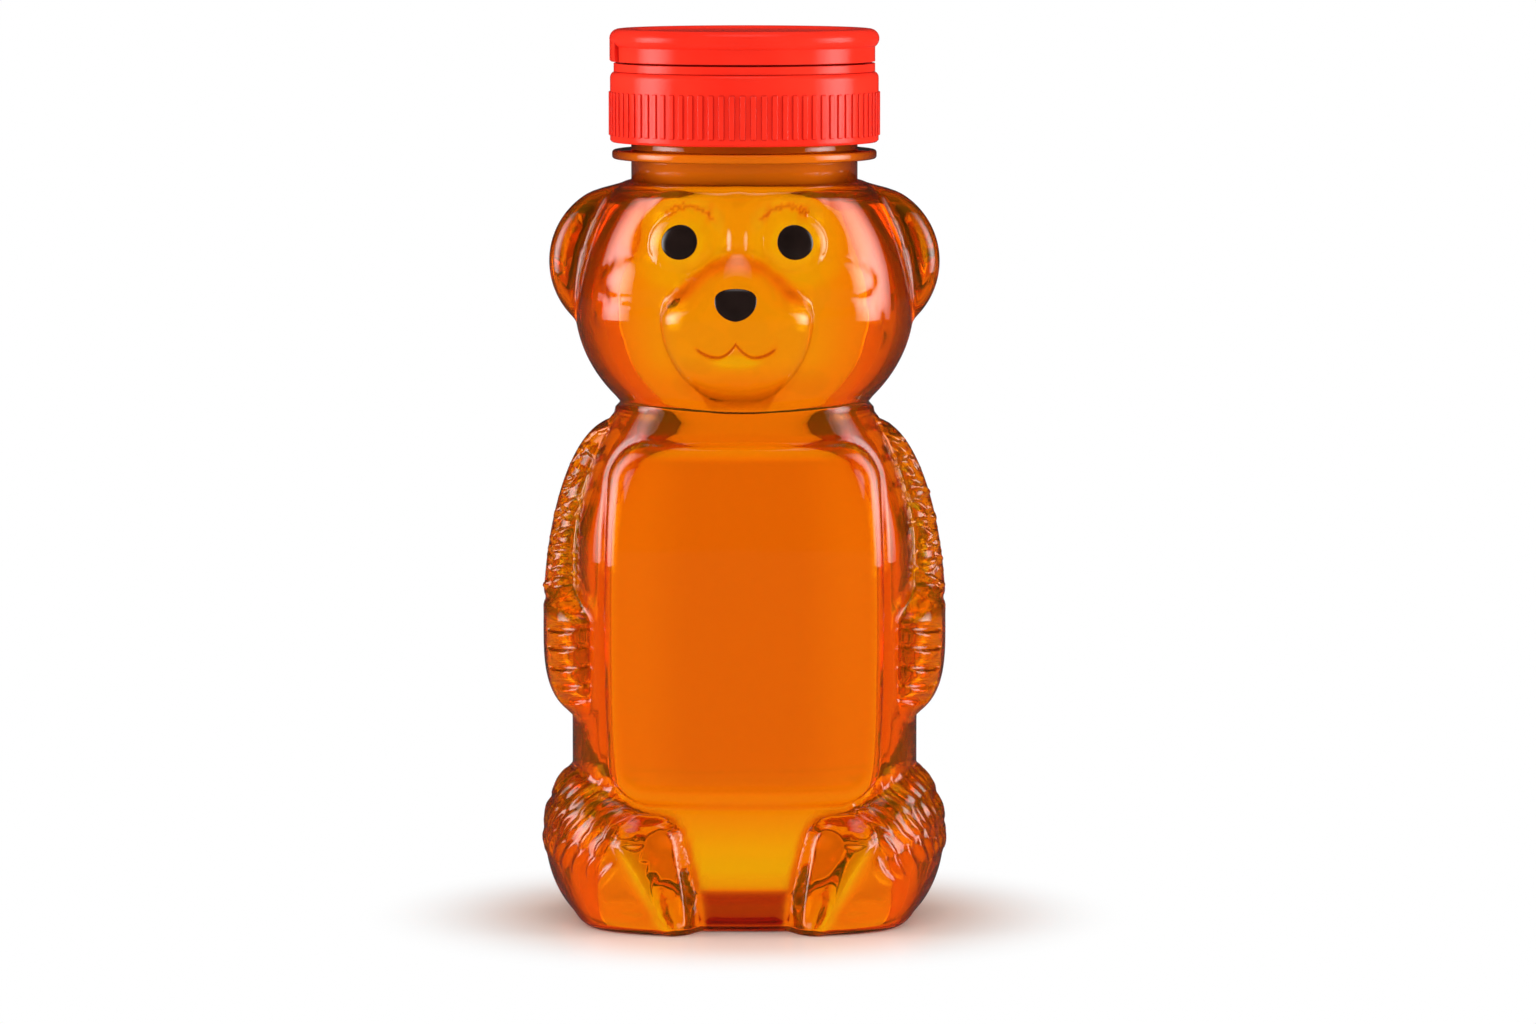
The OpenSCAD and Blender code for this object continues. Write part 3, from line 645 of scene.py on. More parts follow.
def refine(tube, wanted):
    chosen = []
    for face in tube.faces:
        middle = face.calc_center_median()
        angle = crowded(math.degrees(math.atan2(middle.x, -middle.y)))
        if wanted(angle, middle.z):
            chosen.append(face)
    edges = list({edge for face in chosen for edge in face.edges})
    bmesh.ops.subdivide_edges(tube, edges=edges, cuts=1, use_grid_fill=True)


OUTER_COLUMNS, OUTER_ROWS, CROWN_ROWS = 240, 122, 7
crown_turns = [math.sin(math.radians(90 * i / CROWN_ROWS)) for i in range(1, CROWN_ROWS + 1)]
crown_levels = [NECK_Z - CROWN_R + CROWN_R * turn for turn in crown_turns]
outer = spun_tube(BASE_LEVELS + side_levels(OUTER_ROWS, 4) + crown_levels, OUTER_COLUMNS)
refine(outer, engraved)
refine(outer, finest)
push(outer, outside_rule)
print("outside:", len(outer.faces), "faces")

# %% [markdown]
# The inner side is a coarser tube of its own. Both tubes end at the foot of the neck, where a ring of
# faces bridges their rims, so the skin is a closed wall. The inner side gets the second material.

# %% Inner side and rim
INNER_COLUMNS, INNER_ROWS = 112, 56
OUTER_SIDE, INNER_SIDE = 0, 1

inner = spun_tube(BASE_LEVELS + side_levels(INNER_ROWS, 3) + TOP_LEVELS, INNER_COLUMNS)
push(inner, inside_rule(WALL))
for face in inner.faces:
    face.material_index = INNER_SIDE
inner_mesh = bpy.data.meshes.new("inner_wall")
inner.to_mesh(inner_mesh)
inner.free()
outer.from_mesh(inner_mesh)
rims = [edge for edge in outer.edges if edge.is_boundary]
rim = bmesh.ops.bridge_loops(outer, edges=rims)
for face in rim["faces"]:
    face.material_index = INNER_SIDE
skin = object_from(outer, "bear_skin")
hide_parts("bottle_body")
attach(skin, "bottle")
print("skin with its inner side:", len(skin.data.polygons), "faces")

# %% [markdown]
# ## The honey
# The honey fills the bottle up into the neck. It has the inner side of the wall as its outline, a hair
# further in, and a flat top that the last level closes in the middle.

# %% Honey
HONEY_GAP = 0.1
HONEY_TOP = NECK_Z + 5
CLOSING_LEVEL = NECK_Z + 10
HONEY_COLUMNS, HONEY_ROWS = 130, 90


def honey_rule(a, level):
    r, z = inside_rule(WALL + HONEY_GAP)(a, np.minimum(level, NECK_Z))
    r = np.where(level > NECK_Z, BORE_R - HONEY_GAP, r)
    z = np.where(level > NECK_Z, HONEY_TOP, z)
    return np.where(level >= CLOSING_LEVEL, 0, r), z


honey_levels = BASE_LEVELS + side_levels(HONEY_ROWS, 3) + TOP_LEVELS + [HONEY_TOP, CLOSING_LEVEL]
honey_tube = spun_tube(honey_levels, HONEY_COLUMNS)
push(honey_tube, honey_rule)
honey = object_from(honey_tube, "honey_fill")
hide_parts("honey")
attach(honey, "bottle")
print("honey:", len(honey.data.polygons), "faces")

# %% [markdown]
# ## The neck
# The neck is a plain lathe part: a wall, the flat transfer ring that carries the bottle in the
# factory, and the land that the liner seals on. Its outline is drawn as one face, the corners are
# rounded with a vertex bevel, and the outline is spun.

# %% Neck
RING_R = NECK_R + 2.95
RING_Z, RING_T = NECK_Z + 3.3, 1.4
RING_TOP = RING_Z + RING_T
LAND_Z = RING_TOP + 9.9
LATHE_STEPS = 192
ROUNDED_CORNERS = ((0.45, (3, 4, 6)), (0.3, (2, 5)))
NECK_OUTLINE = ((BORE_R, NECK_Z), (NECK_R, NECK_Z), (NECK_R, RING_Z), (RING_R, RING_Z), (RING_R, RING_TOP),
                (NECK_R, RING_TOP), (NECK_R, LAND_Z), (BORE_R, LAND_Z))

neck_bm = bmesh.new()
corners = [neck_bm.verts.new((r * MM, 0, z * MM)) for r, z in NECK_OUTLINE]
neck_bm.faces.new(corners)
for radius, numbers in ROUNDED_CORNERS:
    bmesh.ops.bevel(neck_bm, geom=[corners[n] for n in numbers], offset=radius * MM, offset_type="OFFSET",
                    segments=4, profile=0.5, affect="VERTICES", material=-1)
bmesh.ops.delete(neck_bm, geom=list(neck_bm.faces), context="FACES_ONLY")
bmesh.ops.spin(neck_bm, geom=list(neck_bm.verts) + list(neck_bm.edges), cent=(0, 0, 0), axis=(0, 0, 1),
               angle=2 * math.pi, steps=LATHE_STEPS, use_merge=True)
for face in neck_bm.faces:
    in_bore = all(math.hypot(v.co.x, v.co.y) < (BORE_R + 0.01) * MM for v in face.verts)
    at_foot = all(v.co.z < (NECK_Z + 0.01) * MM for v in face.verts)
    face.material_index = INNER_SIDE if in_bore or at_foot else OUTER_SIDE
print("neck without its thread:", len(neck_bm.faces), "faces")

# %% [markdown]
# The thread is a small section that is spun and lifted at the same time, and it sinks into the wall at
# both ends.

# %% Thread
THREAD_ROOT, THREAD_R = NECK_R - 0.05, NECK_R + 1.25
THREAD_PITCH, THREAD_TURNS, THREAD_Z = 4.233, 1.2, RING_TOP + 2.3
THREAD_SECTION = ((THREAD_ROOT, -0.95), (THREAD_R, -0.45), (THREAD_R, 0.45), (THREAD_ROOT, 0.95))
THREAD_RISE = THREAD_PITCH * THREAD_TURNS
STEPS_PER_TURN, END_STEEPNESS, LEAST_FADE = 96, 9, 0.05

thread_steps = round(STEPS_PER_TURN * THREAD_TURNS)
smooth_neck = set(neck_bm.verts)
section = [neck_bm.verts.new((r * MM, 0, (THREAD_Z + up) * MM)) for r, up in THREAD_SECTION]
edges = [neck_bm.edges.new(pair) for pair in zip(section, section[1:] + section[:1])]
bmesh.ops.spin(neck_bm, geom=section + edges, cent=(0, 0, 0), axis=(0, 0, 1),
               angle=2 * math.pi * THREAD_TURNS, dvec=(0, 0, THREAD_RISE * MM / thread_steps),
               steps=thread_steps, use_merge=False)
ridge = [v for v in neck_bm.verts if v not in smooth_neck]
for v in ridge:
    spot = unit((v.co.z / MM - THREAD_Z) / THREAD_RISE)
    fade = float(max(ease(spot * END_STEEPNESS) * ease((1 - spot) * END_STEEPNESS), LEAST_FADE))
    r = math.hypot(v.co.x, v.co.y) / MM
    factor = mix(THREAD_ROOT, r, fade) / r
    v.co.x *= factor
    v.co.y *= factor
ends = {edge for v in ridge for edge in v.link_edges if edge.is_boundary}
bmesh.ops.holes_fill(neck_bm, edges=list(ends), sides=4)
bmesh.ops.translate(neck_bm, verts=neck_bm.verts, vec=(0, AXIS_Y * MM, 0))
neck = object_from(neck_bm, "bottle_neck_ring")
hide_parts("bottle_neck")
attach(neck, "bottle")
print("neck:", len(neck.data.polygons), "faces")

# %% [markdown]
# ## Eyes and nose
# They are thick drops of black paint on the skin. Each is a small pillow that follows the skin below:
# a domed top, level 0 to 1, and a flat underside, level 1 to 2. The nose is a rounded triangle.

# %% Paint drops
EYE_W, EYE_H = 4.95, 5.3
NOSE_UP, NOSE_W, NOSE_TOP, NOSE_BOTTOM = 17.3, 5.2, 1.7, 3.2
NOSE_ROUND, NOSE_POINT = 0.85, 1.15
PAINT_T, PAINT_GAP, PAINT_FULLNESS = 0.3, 0.05, 0.8
DROP_LEVELS, DROP_COLUMNS = [0, 0.15, 0.3, 0.45, 0.6, 0.72, 0.82, 0.9, 0.96, 1, 1.5, 2], 40


def paint_drop(name, x, up, outline, node):
    """outline(turn) gives the half width and the half height of the drop in that direction."""
    drop = spun_tube(DROP_LEVELS, DROP_COLUMNS)
    co = np.array([v.co for v in drop.verts])
    level = co[:, 2]
    share = np.where(level <= 1, sin(90 * level), 2 - level)
    dx, dz = outline(np.degrees(np.arctan2(co[:, 1], co[:, 0])))
    height = TORSO_H + up + dz * share
    angle = np.degrees(np.arcsin((x + dx * share) / (HEAD_D / 2))) - FACE_TURN
    domed = np.where(level <= 1, np.power(unit(cos(90 * level)), PAINT_FULLNESS), 0)
    settle(drop, plain_r(angle, height) + PAINT_GAP + PAINT_T * domed, angle, height)
    piece = object_from(drop, name)
    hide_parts(node)
    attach(piece, "bottle")
    return piece


def eye_outline(turn):
    return EYE_W / 2 * cos(turn), EYE_H / 2 * sin(turn)


def nose_outline(turn):
    across, up = cos(turn), sin(turn)
    wide = np.sign(across) * np.power(np.abs(across), np.where(up > 0, NOSE_ROUND, NOSE_POINT))
    tall = np.where(up > 0, NOSE_TOP * np.power(np.abs(up), NOSE_ROUND), NOSE_BOTTOM * up)
    return NOSE_W / 2 * wide, tall


drops = [paint_drop("left_eye_paint", EYE_OUT, EYE_UP, eye_outline, "left_eye"),
         paint_drop("right_eye_paint", -EYE_OUT, EYE_UP, eye_outline, "right_eye"),
         paint_drop("nose_paint", 0, NOSE_UP, nose_outline, "nose")]
print("paint drops:", [len(drop.data.polygons) for drop in drops], "faces")

# %% [markdown]
# ## The living hinge
# Lid and closure are moulded as one piece, joined by two thin films with a spring strap between them.
# The plastic is thinnest in the middle, where it folds. Each strap is a bevelled box, split along its
# height so that it can bend.

# %% Films and strap of the hinge
CLOSURE_CLOCK = 40
SKIRT_R = THREAD_R + 0.25 + 1.75
LUG_FACE, FILM_T = SKIRT_R + 0.28, 0.35
HINGE_Z, FOLD_HALF = 132.14, 0.3
FILM_OFFSET, FILM_W, FILM_H = 4.8, 2.6, 1.2
SPRING_W, SPRING_H = 4, 2.6
STRAP_BEVEL, STRAP_CUTS = 0.07, 19
THINNER, THIN_HALF = 0.13, 0.4

closure_turned = Matrix.Translation((0, AXIS_Y, 0)) @ Matrix.Rotation(math.radians(CLOSURE_CLOCK), 4, "Z")


def hinge_strap(name, node, offset, width, height):
    strap = bmesh.new()
    bmesh.ops.create_cube(strap, size=1)
    bmesh.ops.scale(strap, verts=strap.verts, vec=(width, FILM_T, height))
    bmesh.ops.bevel(strap, geom=list(strap.edges), offset=STRAP_BEVEL, segments=2, profile=0.5,
                    affect="EDGES", material=-1)
    upright = [edge for edge in strap.edges if abs(edge.verts[0].co.z - edge.verts[1].co.z) > height / 2]
    bmesh.ops.subdivide_edges(strap, edges=upright, cuts=STRAP_CUTS, use_grid_fill=True)
    for vert in strap.verts:
        thin = THINNER * float(ease(1 - abs(vert.co.z) / THIN_HALF))
        vert.co.y += thin if vert.co.y < 0 else 0
    bmesh.ops.translate(strap, verts=strap.verts, vec=(offset, LUG_FACE + FILM_T / 2, HINGE_Z))
    bmesh.ops.transform(strap, matrix=Matrix.Scale(MM, 4) @ closure_turned, verts=strap.verts)
    piece = object_from(strap, name)
    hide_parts(node)
    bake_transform(piece)
    return piece


straps = [hinge_strap("left_hinge_film", "hinge_film_left", -FILM_OFFSET, FILM_W, FILM_H),
          hinge_strap("right_hinge_film", "hinge_film_right", FILM_OFFSET, FILM_W, FILM_H),
          hinge_strap("hinge_spring_strap", "hinge_spring", 0, SPRING_W, SPRING_H)]
print("hinge straps:", [len(strap.data.polygons) for strap in straps], "faces")

# %% [markdown]
# ## Painted light and shade in the amber
# Honey glows yellow where light comes through a thin place, such as between the legs, and is brown where
# the light has a long way, such as over the pushed-up base. A number on each point of the skin paints
# this light and shade into the colour: 0 is a painted yellow glow, 0.5 the plain liquid and 1 painted
# dark brown shade. Each rule below adds its shares, and a share below nought paints the amber lighter.

# %% Painted light and shade in front: panel and feet
PANE_SHADE_ADD, PANE_SIDE_ADD, PANEL_EDGE_HIGHLIGHT_ADD = 0.14, -0.07, -0.16
GLOW_ADD, BAND_SHADE_ADD, RIB_GLOW_ADD = -0.45, 0.5, -0.45
BAND_TOP = 6


def near_line(distance, half):
    return ease(1 - np.abs(distance) / half)


# Painted shade darkens the pane a little, and a painted highlight lightens the panel's edge.
def panel_painted_light(a, z):
    inside = panel_inside(a, z, torso_r(a, z))
    pane = ease((inside - 2) / 0.5) * (PANE_SHADE_ADD + PANE_SIDE_ADD * ease((np.abs(a) - 20) / 20))
    return pane + PANEL_EDGE_HIGHLIGHT_ADD * near_line(inside - 1.2, 1.4)


# A painted yellow glow between the legs, a painted dark band of shade at their foot, and a painted
# highlight along the rib of each sole.
def feet_painted_light(a, z):
    side = np.abs(a)
    between_legs = ease((foot_inner_angle(z) - side) / 2) * (z < 24)
    glow = between_legs * ease((z - BAND_TOP - 0.2) / 0.8) * (1 - ease((z - 9) / 12))
    band = between_legs * (1 - ease((z - BAND_TOP) / 0.6)) * ease((z + 0.5) / 1.5)
    rib = near_line(side - sole_edge(z) - RIB_OUT, 4.5) * ease((SOLE_TOP + 1.5 - z) / 3) * ease(z / 1.5)
    return GLOW_ADD * glow + BAND_SHADE_ADD * band + RIB_GLOW_ADD * rib


print("between the feet the band ends at", BAND_TOP, "mm")

# %% [markdown]
# Arms, ears, the sides of the head and the back differ in large soft patches of painted light and shade:
# arms and back lighter, ears and head sides darker. A painted highlight runs along the front crease of
# each arm.

# %% Painted light and shade at the sides and behind
LIMB_ADD, EAR_ADD, TEMPLE_SHADE_ADD = -0.16, 0.04, 0.24
LOW_BACK_ADD, HIGH_BACK_ADD, CREASE_HIGHLIGHT_ADD = -0.2, -0.12, -0.4


def side_painted_light(a, z):
    side = np.abs(a)
    limbs = ease((side - 66) / 10) * ease((112 - side) / 10) * np.where(z < TORSO_H, LIMB_ADD, EAR_ADD)
    temples = near_line(side - 62, 16) * ease((z - 92) / 8)
    crease = near_line(arm_place(a, z) + 0.97, 0.16) * ease((z - 47) / 3) * (1 - ease((z - 66) / 8))
    return limbs + TEMPLE_SHADE_ADD * temples + CREASE_HIGHLIGHT_ADD * crease


def back_painted_light(a, z):
    low = ease((-0.75 - cos(a)) / 0.2) * ease((z - 4) / 3) * (1 - ease((z - 15) / 9))
    high = ease((-0.5 - cos(a)) / 0.4) * ease((z - TORSO_H) / 6)
    return LOW_BACK_ADD * low + HIGH_BACK_ADD * high


print("the temples are deeper by", TEMPLE_SHADE_ADD)

# %% [markdown]
# The face is painted lighter than the rest, most of all round the eyes, and a painted bright ring circles
# each eye. Painted shade deepens the arch over the muzzle, the mouth, the chin and the eyebrows, so that
# these fine lines show in the clear plastic, and a painted highlight lightens the lower lip.

# %% Painted light and shade on the face
FACE_ADD, SOCKET_ADD, EYE_RIM_GLOW_ADD = -0.22, -0.14, -0.2
ARCH_SHADE_ADD, CHIN_SHADE_ADD, MOUTH_SHADE_ADD, LIP_HIGHLIGHT_ADD, HAIR_SHADE_ADD = 0.45, 0.24, 0.95, -0.45, 0.6
ARCH_HEIGHT = 1.7


def painted_face_marks(x, up):
    eye_t = np.hypot(np.abs(x) - EYE_OUT, up - EYE_UP)
    eyes = SOCKET_ADD * ease((SOCKET_R + 1 - eye_t) / 2) + EYE_RIM_GLOW_ADD * near_line(eye_t - 2.9, 0.6)
    arch = near_line(muzzle(x, up) - ARCH_HEIGHT, ARCH_HEIGHT) * ease((up - 15) / 3) * ease((25 - up) / 2)
    chin = ease((chin_line(x) - up) / 0.5) * ease((5.6 - np.abs(x) + 0.4 * up) / 0.6)
    chin = chin * ease((up + 0.4) / 0.8)
    mouth = near_line(up - mouth_line(x), 0.5) * ease((MOUTH_END - np.abs(x)) / LINE_FADE)
    lip = ease(1.2 - np.hypot(x / 3.6, (up - LIP_UP) / 1.2))
    return eyes + ARCH_SHADE_ADD * arch + CHIN_SHADE_ADD * chin + MOUTH_SHADE_ADD * mouth + LIP_HIGHLIGHT_ADD * lip


def face_painted_light(a, z):
    x, up, front = face_place(a, z)
    face = ease((50 - np.abs(a + FACE_TURN)) / 25) * ease((up - 3) / 6)
    hairs = ease(stroke_rise(a, z, BROW_HAIRS) / 0.1)
    return FACE_ADD * face + (painted_face_marks(x, up) + HAIR_SHADE_ADD * hairs) * front * (up > -0.4)


print("the mouth is deeper by", MOUTH_SHADE_ADD)

# %% [markdown]
# The numbers are stored on the points as an attribute, which moves with the piece.
# The neck gets a simpler rule: painted brown shade at both sides, where one looks along its wall.

# %% Store the amber and its painted light and shade on skin and neck
PLAIN_DEPTH, FRONT_ADD = 0.42, 0.06
NECK_DEPTH, NECK_SIDE_SHADE_ADD = 0.5, 0.4


# The plain amber, plus the painted light and shade of every region.
def amber_and_painted_light(a, z):
    plain = PLAIN_DEPTH + FRONT_ADD * ease((cos(a) + 0.1) / 0.3)
    return unit(plain + panel_painted_light(a, z) + feet_painted_light(a, z) + side_painted_light(a, z) + back_painted_light(a, z)
                + face_painted_light(a, z))


def neck_tone_and_shade(a, z):
    return NECK_DEPTH + NECK_SIDE_SHADE_ADD * ease((np.abs(sin(a)) - 0.6) / 0.4)


def store_depth(piece, rule):
    co = np.array([v.co for v in piece.data.vertices]) / MM
    angle = np.degrees(np.arctan2(co[:, 0], AXIS_Y - co[:, 1]))
    depth = rule(angle, co[:, 2])
    layer = piece.data.attributes.new("amber_and_painted_light", "FLOAT", "POINT")
    layer.data.foreach_set("value", depth.astype(np.float32))
    print(piece.name, "depth from", round(float(depth.min()), 2), "to", round(float(depth.max()), 2))


store_depth(skin, amber_and_painted_light)
store_depth(neck, neck_tone_and_shade)

# %% [markdown]
# ## Finishes
# Each finish is a small tree of nodes on the Principled shader. Numbers that are the same all over
# are set on the shader's own sockets, and only what varies comes from textures on Object coordinates,
# which stay with the piece when it moves.


# %% Helpers for materials
def material(name):
    made = bpy.data.materials.new(name)
    made.use_nodes = True
    return made, made.node_tree, made.node_tree.nodes["Principled BSDF"]


def feed(node, inputs):
    """Sets inputs by name or number, or links them where the value is an output of another node."""
    for key, value in inputs.items():
        if isinstance(value, bpy.types.NodeSocket):
            node.id_data.links.new(value, node.inputs[key])
        else:
            node.inputs[key].default_value = value


def add(tree, kind, inputs=None, **settings):
    node = tree.nodes.new("ShaderNode" + kind)
    for key, value in settings.items():
        setattr(node, key, value)
    feed(node, inputs or {})
    return node


def show(tree, output, socket="Surface"):
    feed(tree.nodes["Material Output"], {socket: output})


def dress(piece, *made):
    piece.data.materials.clear()
    for one in made:
        piece.data.materials.append(one)


def own_place(tree):
    return add(tree, "TexCoord").outputs["Object"]


def noise(tree, scale, detail=3):
    grain = add(tree, "TexNoise", {"Vector": own_place(tree), "Scale": scale, "Detail": detail})
    return grain.outputs["Fac"]


def spread(tree, value, low, high):
    """Turns a number from 0 to 1 into one from low to high."""
    span = add(tree, "MapRange", {"Value": value, "To Min": low, "To Max": high})
    return span.outputs["Result"]


def bump(tree, height, distance, after=None):
    raised = add(tree, "Bump", {"Height": height, "Strength": 1, "Distance": distance})
    if after is not None:
        feed(raised, {"Normal": after})
    return raised.outputs["Normal"]


def ramp_of(tree, value, *stops):
    ramp = add(tree, "ValToRGB", {"Fac": value})
    elements = ramp.color_ramp.elements
    while len(elements) < len(stops):
        elements.new(0.5)
    for element, (place, colour) in zip(elements, stops):
        element.position = place
        element.color = (*colour, 1)
    return ramp.outputs["Color"]


def times(tree, one, other):
    product = add(tree, "Mix", data_type="RGBA", blend_type="MULTIPLY")
    feed(product, {"Factor": 1, "A": one, "B": other})
    return product.outputs["Result"]


WHITE = (1, 1, 1)
print("materials so far:", len(bpy.data.materials))

# %% [markdown]
# Clear plastic that is full of honey bends light as one solid lens, so only its outer side refracts,
# and its inner side and the honey's surface let light pass. Towards the outline the facing of the
# surface darkens the colour: partly for the longer way through the amber, partly as painted shade. A
# small share of plain amber colour under the gloss is the light that haze scatters back.

# %% Clear plastic, its inner side, and the honey
# The first colour is a painted glow, the last a painted brown shade; the middle one is the plain amber.
GLOW, AMBER, SHADED_BROWN = (1, 0.85, 0.008), (1, 0.43, 0.004), (0.45, 0.06, 0.003)
NECK_AMBER = (1, 0.2, 0.004)
RIM_FROM, RIM_TO, RIM_DEPTH_AND_SHADE = 0.42, 0.92, (0.34, 0.15, 0.1)
SKIN_CLEARNESS, NECK_CLEARNESS = 0.96, 0.3
PLASTIC_IOR, PLASTIC_ROUGHNESS = 1.5, 0.02
HONEY_TINT, HONEY_DENSITY = (0.99, 0.86, 0.01, 1), 55


def clear_plastic(name, clearness, amber):
    made, tree, shader = material(name)
    facing = add(tree, "LayerWeight", {"Blend": 0.5})
    depth = add(tree, "Attribute", attribute_name="amber_and_painted_light")
    # The stored number paints glow and shade into the colour, and the facing paints the darker rim.
    amber_glow_and_shade = ramp_of(tree, depth.outputs["Fac"], (0, GLOW), (0.5, amber), (1, SHADED_BROWN))
    rim = ramp_of(tree, facing.outputs["Facing"], (RIM_FROM, WHITE), (RIM_TO, RIM_DEPTH_AND_SHADE))
    feed(shader, {"Base Color": times(tree, amber_glow_and_shade, rim), "Transmission Weight": clearness,
                  "IOR": PLASTIC_IOR, "Roughness": PLASTIC_ROUGHNESS,
                  "Normal": bump(tree, noise(tree, 130, 1), 0.00004)})
    return made


def matched(name):
    """A surface that lets light pass unbent."""
    made, tree, shader = material(name)
    tree.nodes.remove(shader)
    show(tree, add(tree, "BsdfTransparent").outputs[0])
    return made


def honey_liquid():
    made = matched("honey")
    tree = made.node_tree
    body = add(tree, "VolumeAbsorption", {"Color": HONEY_TINT, "Density": HONEY_DENSITY})
    show(tree, body.outputs[0], "Volume")
    return made


inner_side = matched("clear_plastic_inner_side")
dress(skin, clear_plastic("clear_amber_plastic", SKIN_CLEARNESS, AMBER), inner_side)
dress(neck, clear_plastic("clear_neck_plastic", NECK_CLEARNESS, NECK_AMBER), inner_side)
dress(honey, honey_liquid())
print("bottle dressed in", [made.name for made in skin.data.materials])

# %% [markdown]
# The closure is moulded in one go from bright red plastic. Its edges have the small rounding of every
# mould, which a Bevel node gives to the light without more faces, and a faint unevenness breaks up the
# highlights. In its narrow corners painted shade makes the red deeper, standing for light that reaches
# them only by way of more red.

# %% Red plastic
EDGE_ROUND = 0.00022
CORNER_SHADE_REACH, CORNER_SHADE_RED = 0.003, (0.62, 0.1, 0.2)
RED_LOW, RED_HIGH = (0.96, 0.024, 0.010), (1, 0.034, 0.015)


def red_plastic():
    made, tree, shader = material("red_moulded_plastic")
    grain = noise(tree, 90)
    colour = ramp_of(tree, grain, (0.3, RED_LOW), (0.7, RED_HIGH))
    # Ambient occlusion paints shade into the red in the corners.
    corners = add(tree, "AmbientOcclusion", {"Distance": CORNER_SHADE_REACH}, samples=8,
                  only_local=True)
    shade = ramp_of(tree, corners.outputs["AO"], (0.35, CORNER_SHADE_RED), (0.85, WHITE))
    edge = add(tree, "Bevel", {"Radius": EDGE_ROUND}, samples=6)
    fine = bump(tree, noise(tree, 2600, 2), 0.000004, after=edge.outputs["Normal"])
    feed(shader, {"Base Color": times(tree, colour, shade), "Roughness": spread(tree, grain, 0.13, 0.2),
                  "Specular IOR Level": 0.2, "Normal": bump(tree, grain, 0.00008, after=fine)})
    return made


red = red_plastic()
for piece in [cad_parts["closure_base"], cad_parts["closure_lid"], *straps]:
    dress(piece, red)
print("red pieces:", 2 + len(straps))

# %% [markdown]
# The paint is thick and glossy, and a little uneven. The liner is white foam, whose closed cells a
# Voronoi texture gives: dark seams between round cells.

# %% Black paint and foam
BLACK_LOW, BLACK_HIGH = (0.010, 0.005, 0.004), (0.018, 0.009, 0.007)
FOAM_CELL, FOAM_SEAM, CELLS_PER_METRE = (0.93, 0.93, 0.9), (0.8, 0.79, 0.75), 2200


def black_gloss():
    made, tree, shader = material("black_paint")
    grain = noise(tree, 400)
    feed(shader, {"Base Color": ramp_of(tree, grain, (0.3, BLACK_LOW), (0.7, BLACK_HIGH)),
                  "Roughness": spread(tree, grain, 0.1, 0.24), "Normal": bump(tree, grain, 0.00003)})
    return made


def white_foam():
    made, tree, shader = material("white_foam")
    cells = add(tree, "TexVoronoi", {"Vector": own_place(tree), "Scale": CELLS_PER_METRE})
    seams = cells.outputs["Distance"]
    feed(shader, {"Base Color": ramp_of(tree, seams, (0, FOAM_CELL), (1, FOAM_SEAM)), "Roughness": 0.75,
                  "Normal": bump(tree, seams, 0.00008)})
    return made


black = black_gloss()
for drop in drops:
    dress(drop, black)
dress(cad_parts["sealing_liner"], white_foam())
print("materials:", sorted(made.name for made in bpy.data.materials))

# %% [markdown]
# ## The studio
# Light passes through many surfaces here, so the paths of light get more bounces than usual. Floor and
# world show themselves in another way to each kind of ray: plain white to the camera and through the
# glass, dim in reflections, so that the gloss of the bottle keeps its dark places.

# %% Paths of light
cycles = scene.cycles
cycles.max_bounces = 32
cycles.transmission_bounces = 24
cycles.transparent_max_bounces = 64
cycles.glossy_bounces = 8


def combine(tree, operation, one, other):
    return add(tree, "Math", {0: one, 1: other}, operation=operation).outputs[0]


def ray_is(tree, *kinds):
    """1 for the named kinds of ray, otherwise 0."""
    path = add(tree, "LightPath")
    total = path.outputs[kinds[0]]
    for kind in kinds[1:]:
        total = combine(tree, "MAXIMUM", total, path.outputs[kind])
    return total


def blend_shaders(tree, share, first, second):
    return add(tree, "MixShader", {"Fac": share, 1: first, 2: second}).outputs[0]


def fade_outwards(tree, near, far):
    """0 within near metres of the piece's middle, 1 beyond far metres."""
    length = add(tree, "VectorMath", {0: own_place(tree)}, operation="LENGTH").outputs["Value"]
    fade = add(tree, "MapRange", {"Value": length, "From Min": near, "From Max": far},
               interpolation_type="SMOOTHSTEP")
    return fade.outputs["Result"]


print("bounces:", cycles.max_bounces)

# %% [markdown]
# The floor is a wide disc. Near the bottle it takes the shadow and a painted warm glow, standing for the
# light through the honey, and further out it fades to plain white.

# %% Floor
FLOOR_R, FLOOR_ROUGHNESS, FLOOR_MIRRORED = 3, 0.35, 0.06
WARM_FROM, WARM_TO, WARM_GLOW_WHITE = 0.024, 0.062, (1, 0.8, 0.7)
SHADOW_FROM, SHADOW_TO = 0.03, 0.06

floor_bm = bmesh.new()
bmesh.ops.create_circle(floor_bm, cap_ends=True, segments=64, radius=FLOOR_R)
floor = object_from(floor_bm, "floor", smooth=False)
made, tree, shader = material("pale_floor")
# A painted warm glow near the bottle, where light comes through the honey.
warm_glow = ramp_of(tree, fade_outwards(tree, WARM_FROM, WARM_TO), (0, WARM_GLOW_WHITE), (1, WHITE))
feed(shader, {"Base Color": warm_glow, "Roughness": FLOOR_ROUGHNESS})
white = add(tree, "Emission")
dark = add(tree, "Emission", {"Strength": FLOOR_MIRRORED})
through = ray_is(tree, "Is Camera Ray", "Is Transmission Ray")
far_off = combine(tree, "MULTIPLY", through, fade_outwards(tree, SHADOW_FROM, SHADOW_TO))
surface = blend_shaders(tree, ray_is(tree, "Is Glossy Ray"), shader.outputs[0], dark.outputs[0])
surface = blend_shaders(tree, through, surface, shader.outputs[0])
surface = blend_shaders(tree, far_off, surface, white.outputs[0])
show(tree, surface)
dress(floor, made)
print("floor", 2 * FLOOR_R, "m wide")

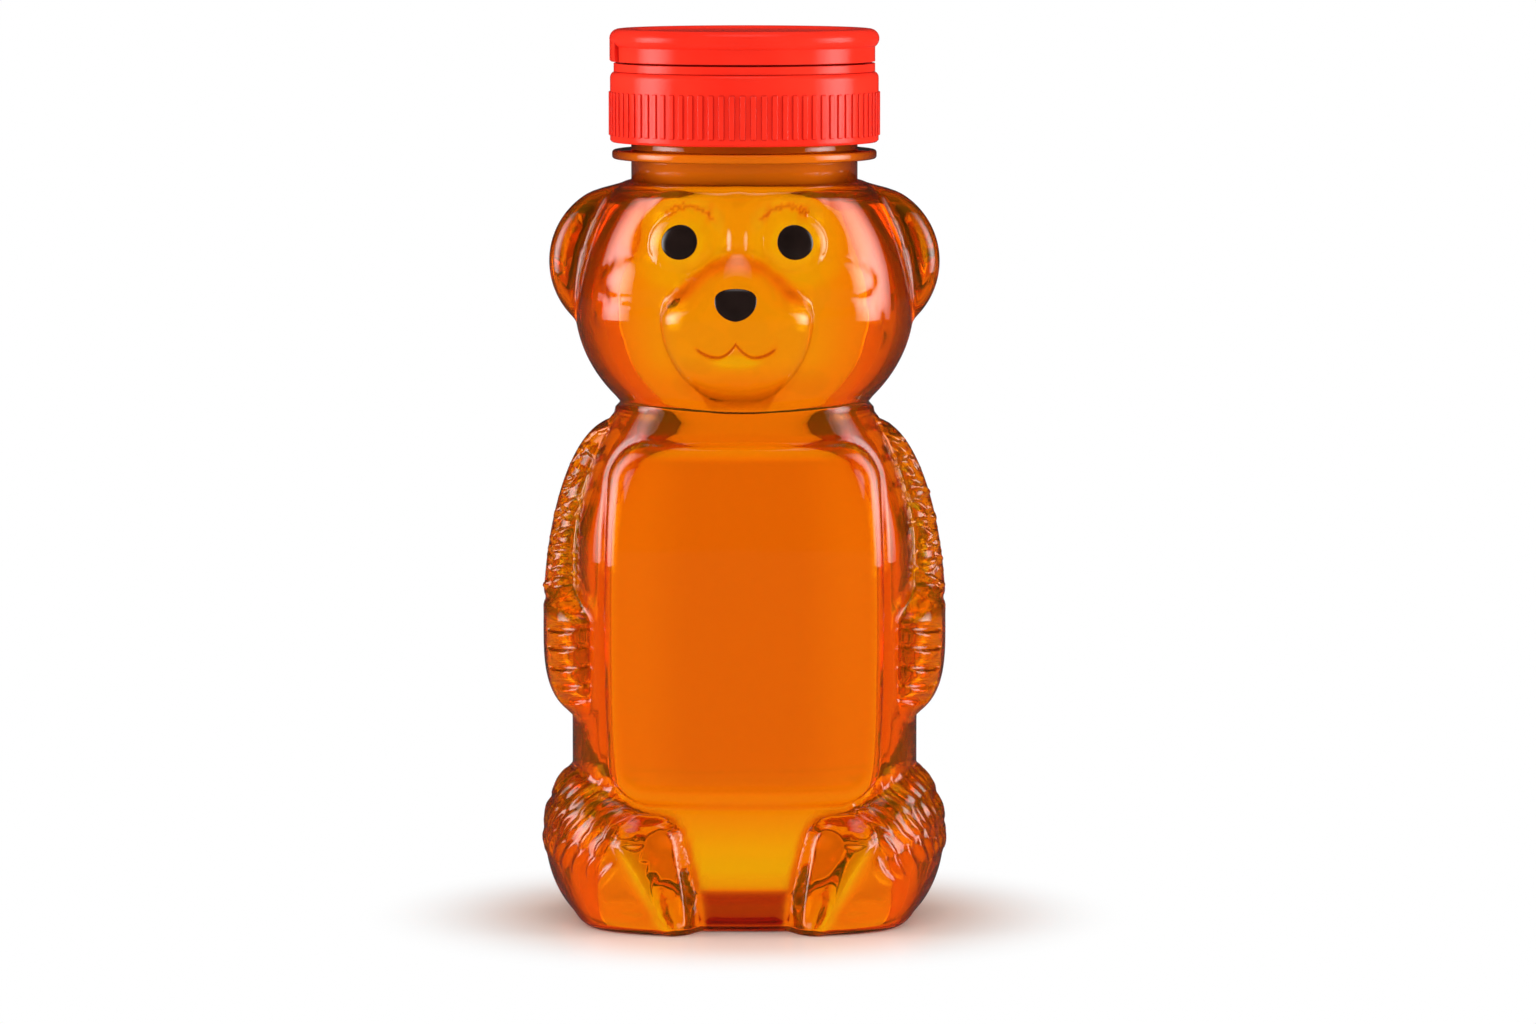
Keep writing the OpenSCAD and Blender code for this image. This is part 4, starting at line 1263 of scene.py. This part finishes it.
# %% [markdown]
# Two tall softboxes at the sides draw the long highlights, and a weak one above lights the cap. Each
# is brightest in its middle, as the cloth of a real softbox is.

# %% Softboxes
SOFTBOXES = (("softbox_left", (-0.55, -0.05, 0.17), (0.42, 0.56), (0, 0, 0.07), 5),
             ("softbox_right", (0.55, -0.05, 0.17), (0.42, 0.56), (0, 0, 0.07), 5),
             ("softbox_top", (0, -0.1, 0.75), (0.5, 0.4), (0, 0, 0.1), 1.5))
CLOTH_MIDDLE, CLOTH_EDGE, CLOTH_REACH = 1.5, 0.15, 0.62


def softbox(name, centre, size, look_at, strength):
    box_bm = bmesh.new()
    bmesh.ops.create_grid(box_bm, x_segments=1, y_segments=1, size=0.5)
    box = object_from(box_bm, name, smooth=False)
    box.rotation_mode = "QUATERNION"
    box.rotation_quaternion = (Vector(look_at) - Vector(centre)).to_track_quat("Z", "Y")
    box.scale = (*size, 1)
    box.location = centre
    made, tree, shader = material(name + "_glow")
    tree.nodes.remove(shader)
    fade = fade_outwards(tree, 0, CLOTH_REACH)
    cloth = spread(tree, fade, strength * CLOTH_MIDDLE, strength * CLOTH_EDGE)
    glow = add(tree, "Emission", {"Strength": cloth})
    show(tree, glow.outputs[0])
    dress(box, made)
    box.visible_camera = False


for settings in SOFTBOXES:
    softbox(*settings)
print("softboxes:", len(SOFTBOXES))

# %% [markdown]
# The world fills in from all sides, and shows itself as the floor does.

# %% World
WORLD_FILL, WORLD_MIRRORED = 0.95, 0.02

world = bpy.data.worlds.new("studio")
scene.world = world
world.use_nodes = True
tree = world.node_tree
fill = tree.nodes["Background"]
shown = add(tree, "Background")
dim = add(tree, "Background")
for background, strength in ((fill, WORLD_FILL), (shown, 1), (dim, WORLD_MIRRORED)):
    feed(background, {"Color": (*WHITE, 1), "Strength": strength})
mirrored = blend_shaders(tree, ray_is(tree, "Is Glossy Ray"), fill.outputs[0], dim.outputs[0])
seen = ray_is(tree, "Is Camera Ray", "Is Transmission Ray")
lit = blend_shaders(tree, seen, mirrored, shown.outputs[0])
feed(tree.nodes["World Output"], {"Surface": lit})
print("world fill:", WORLD_FILL)
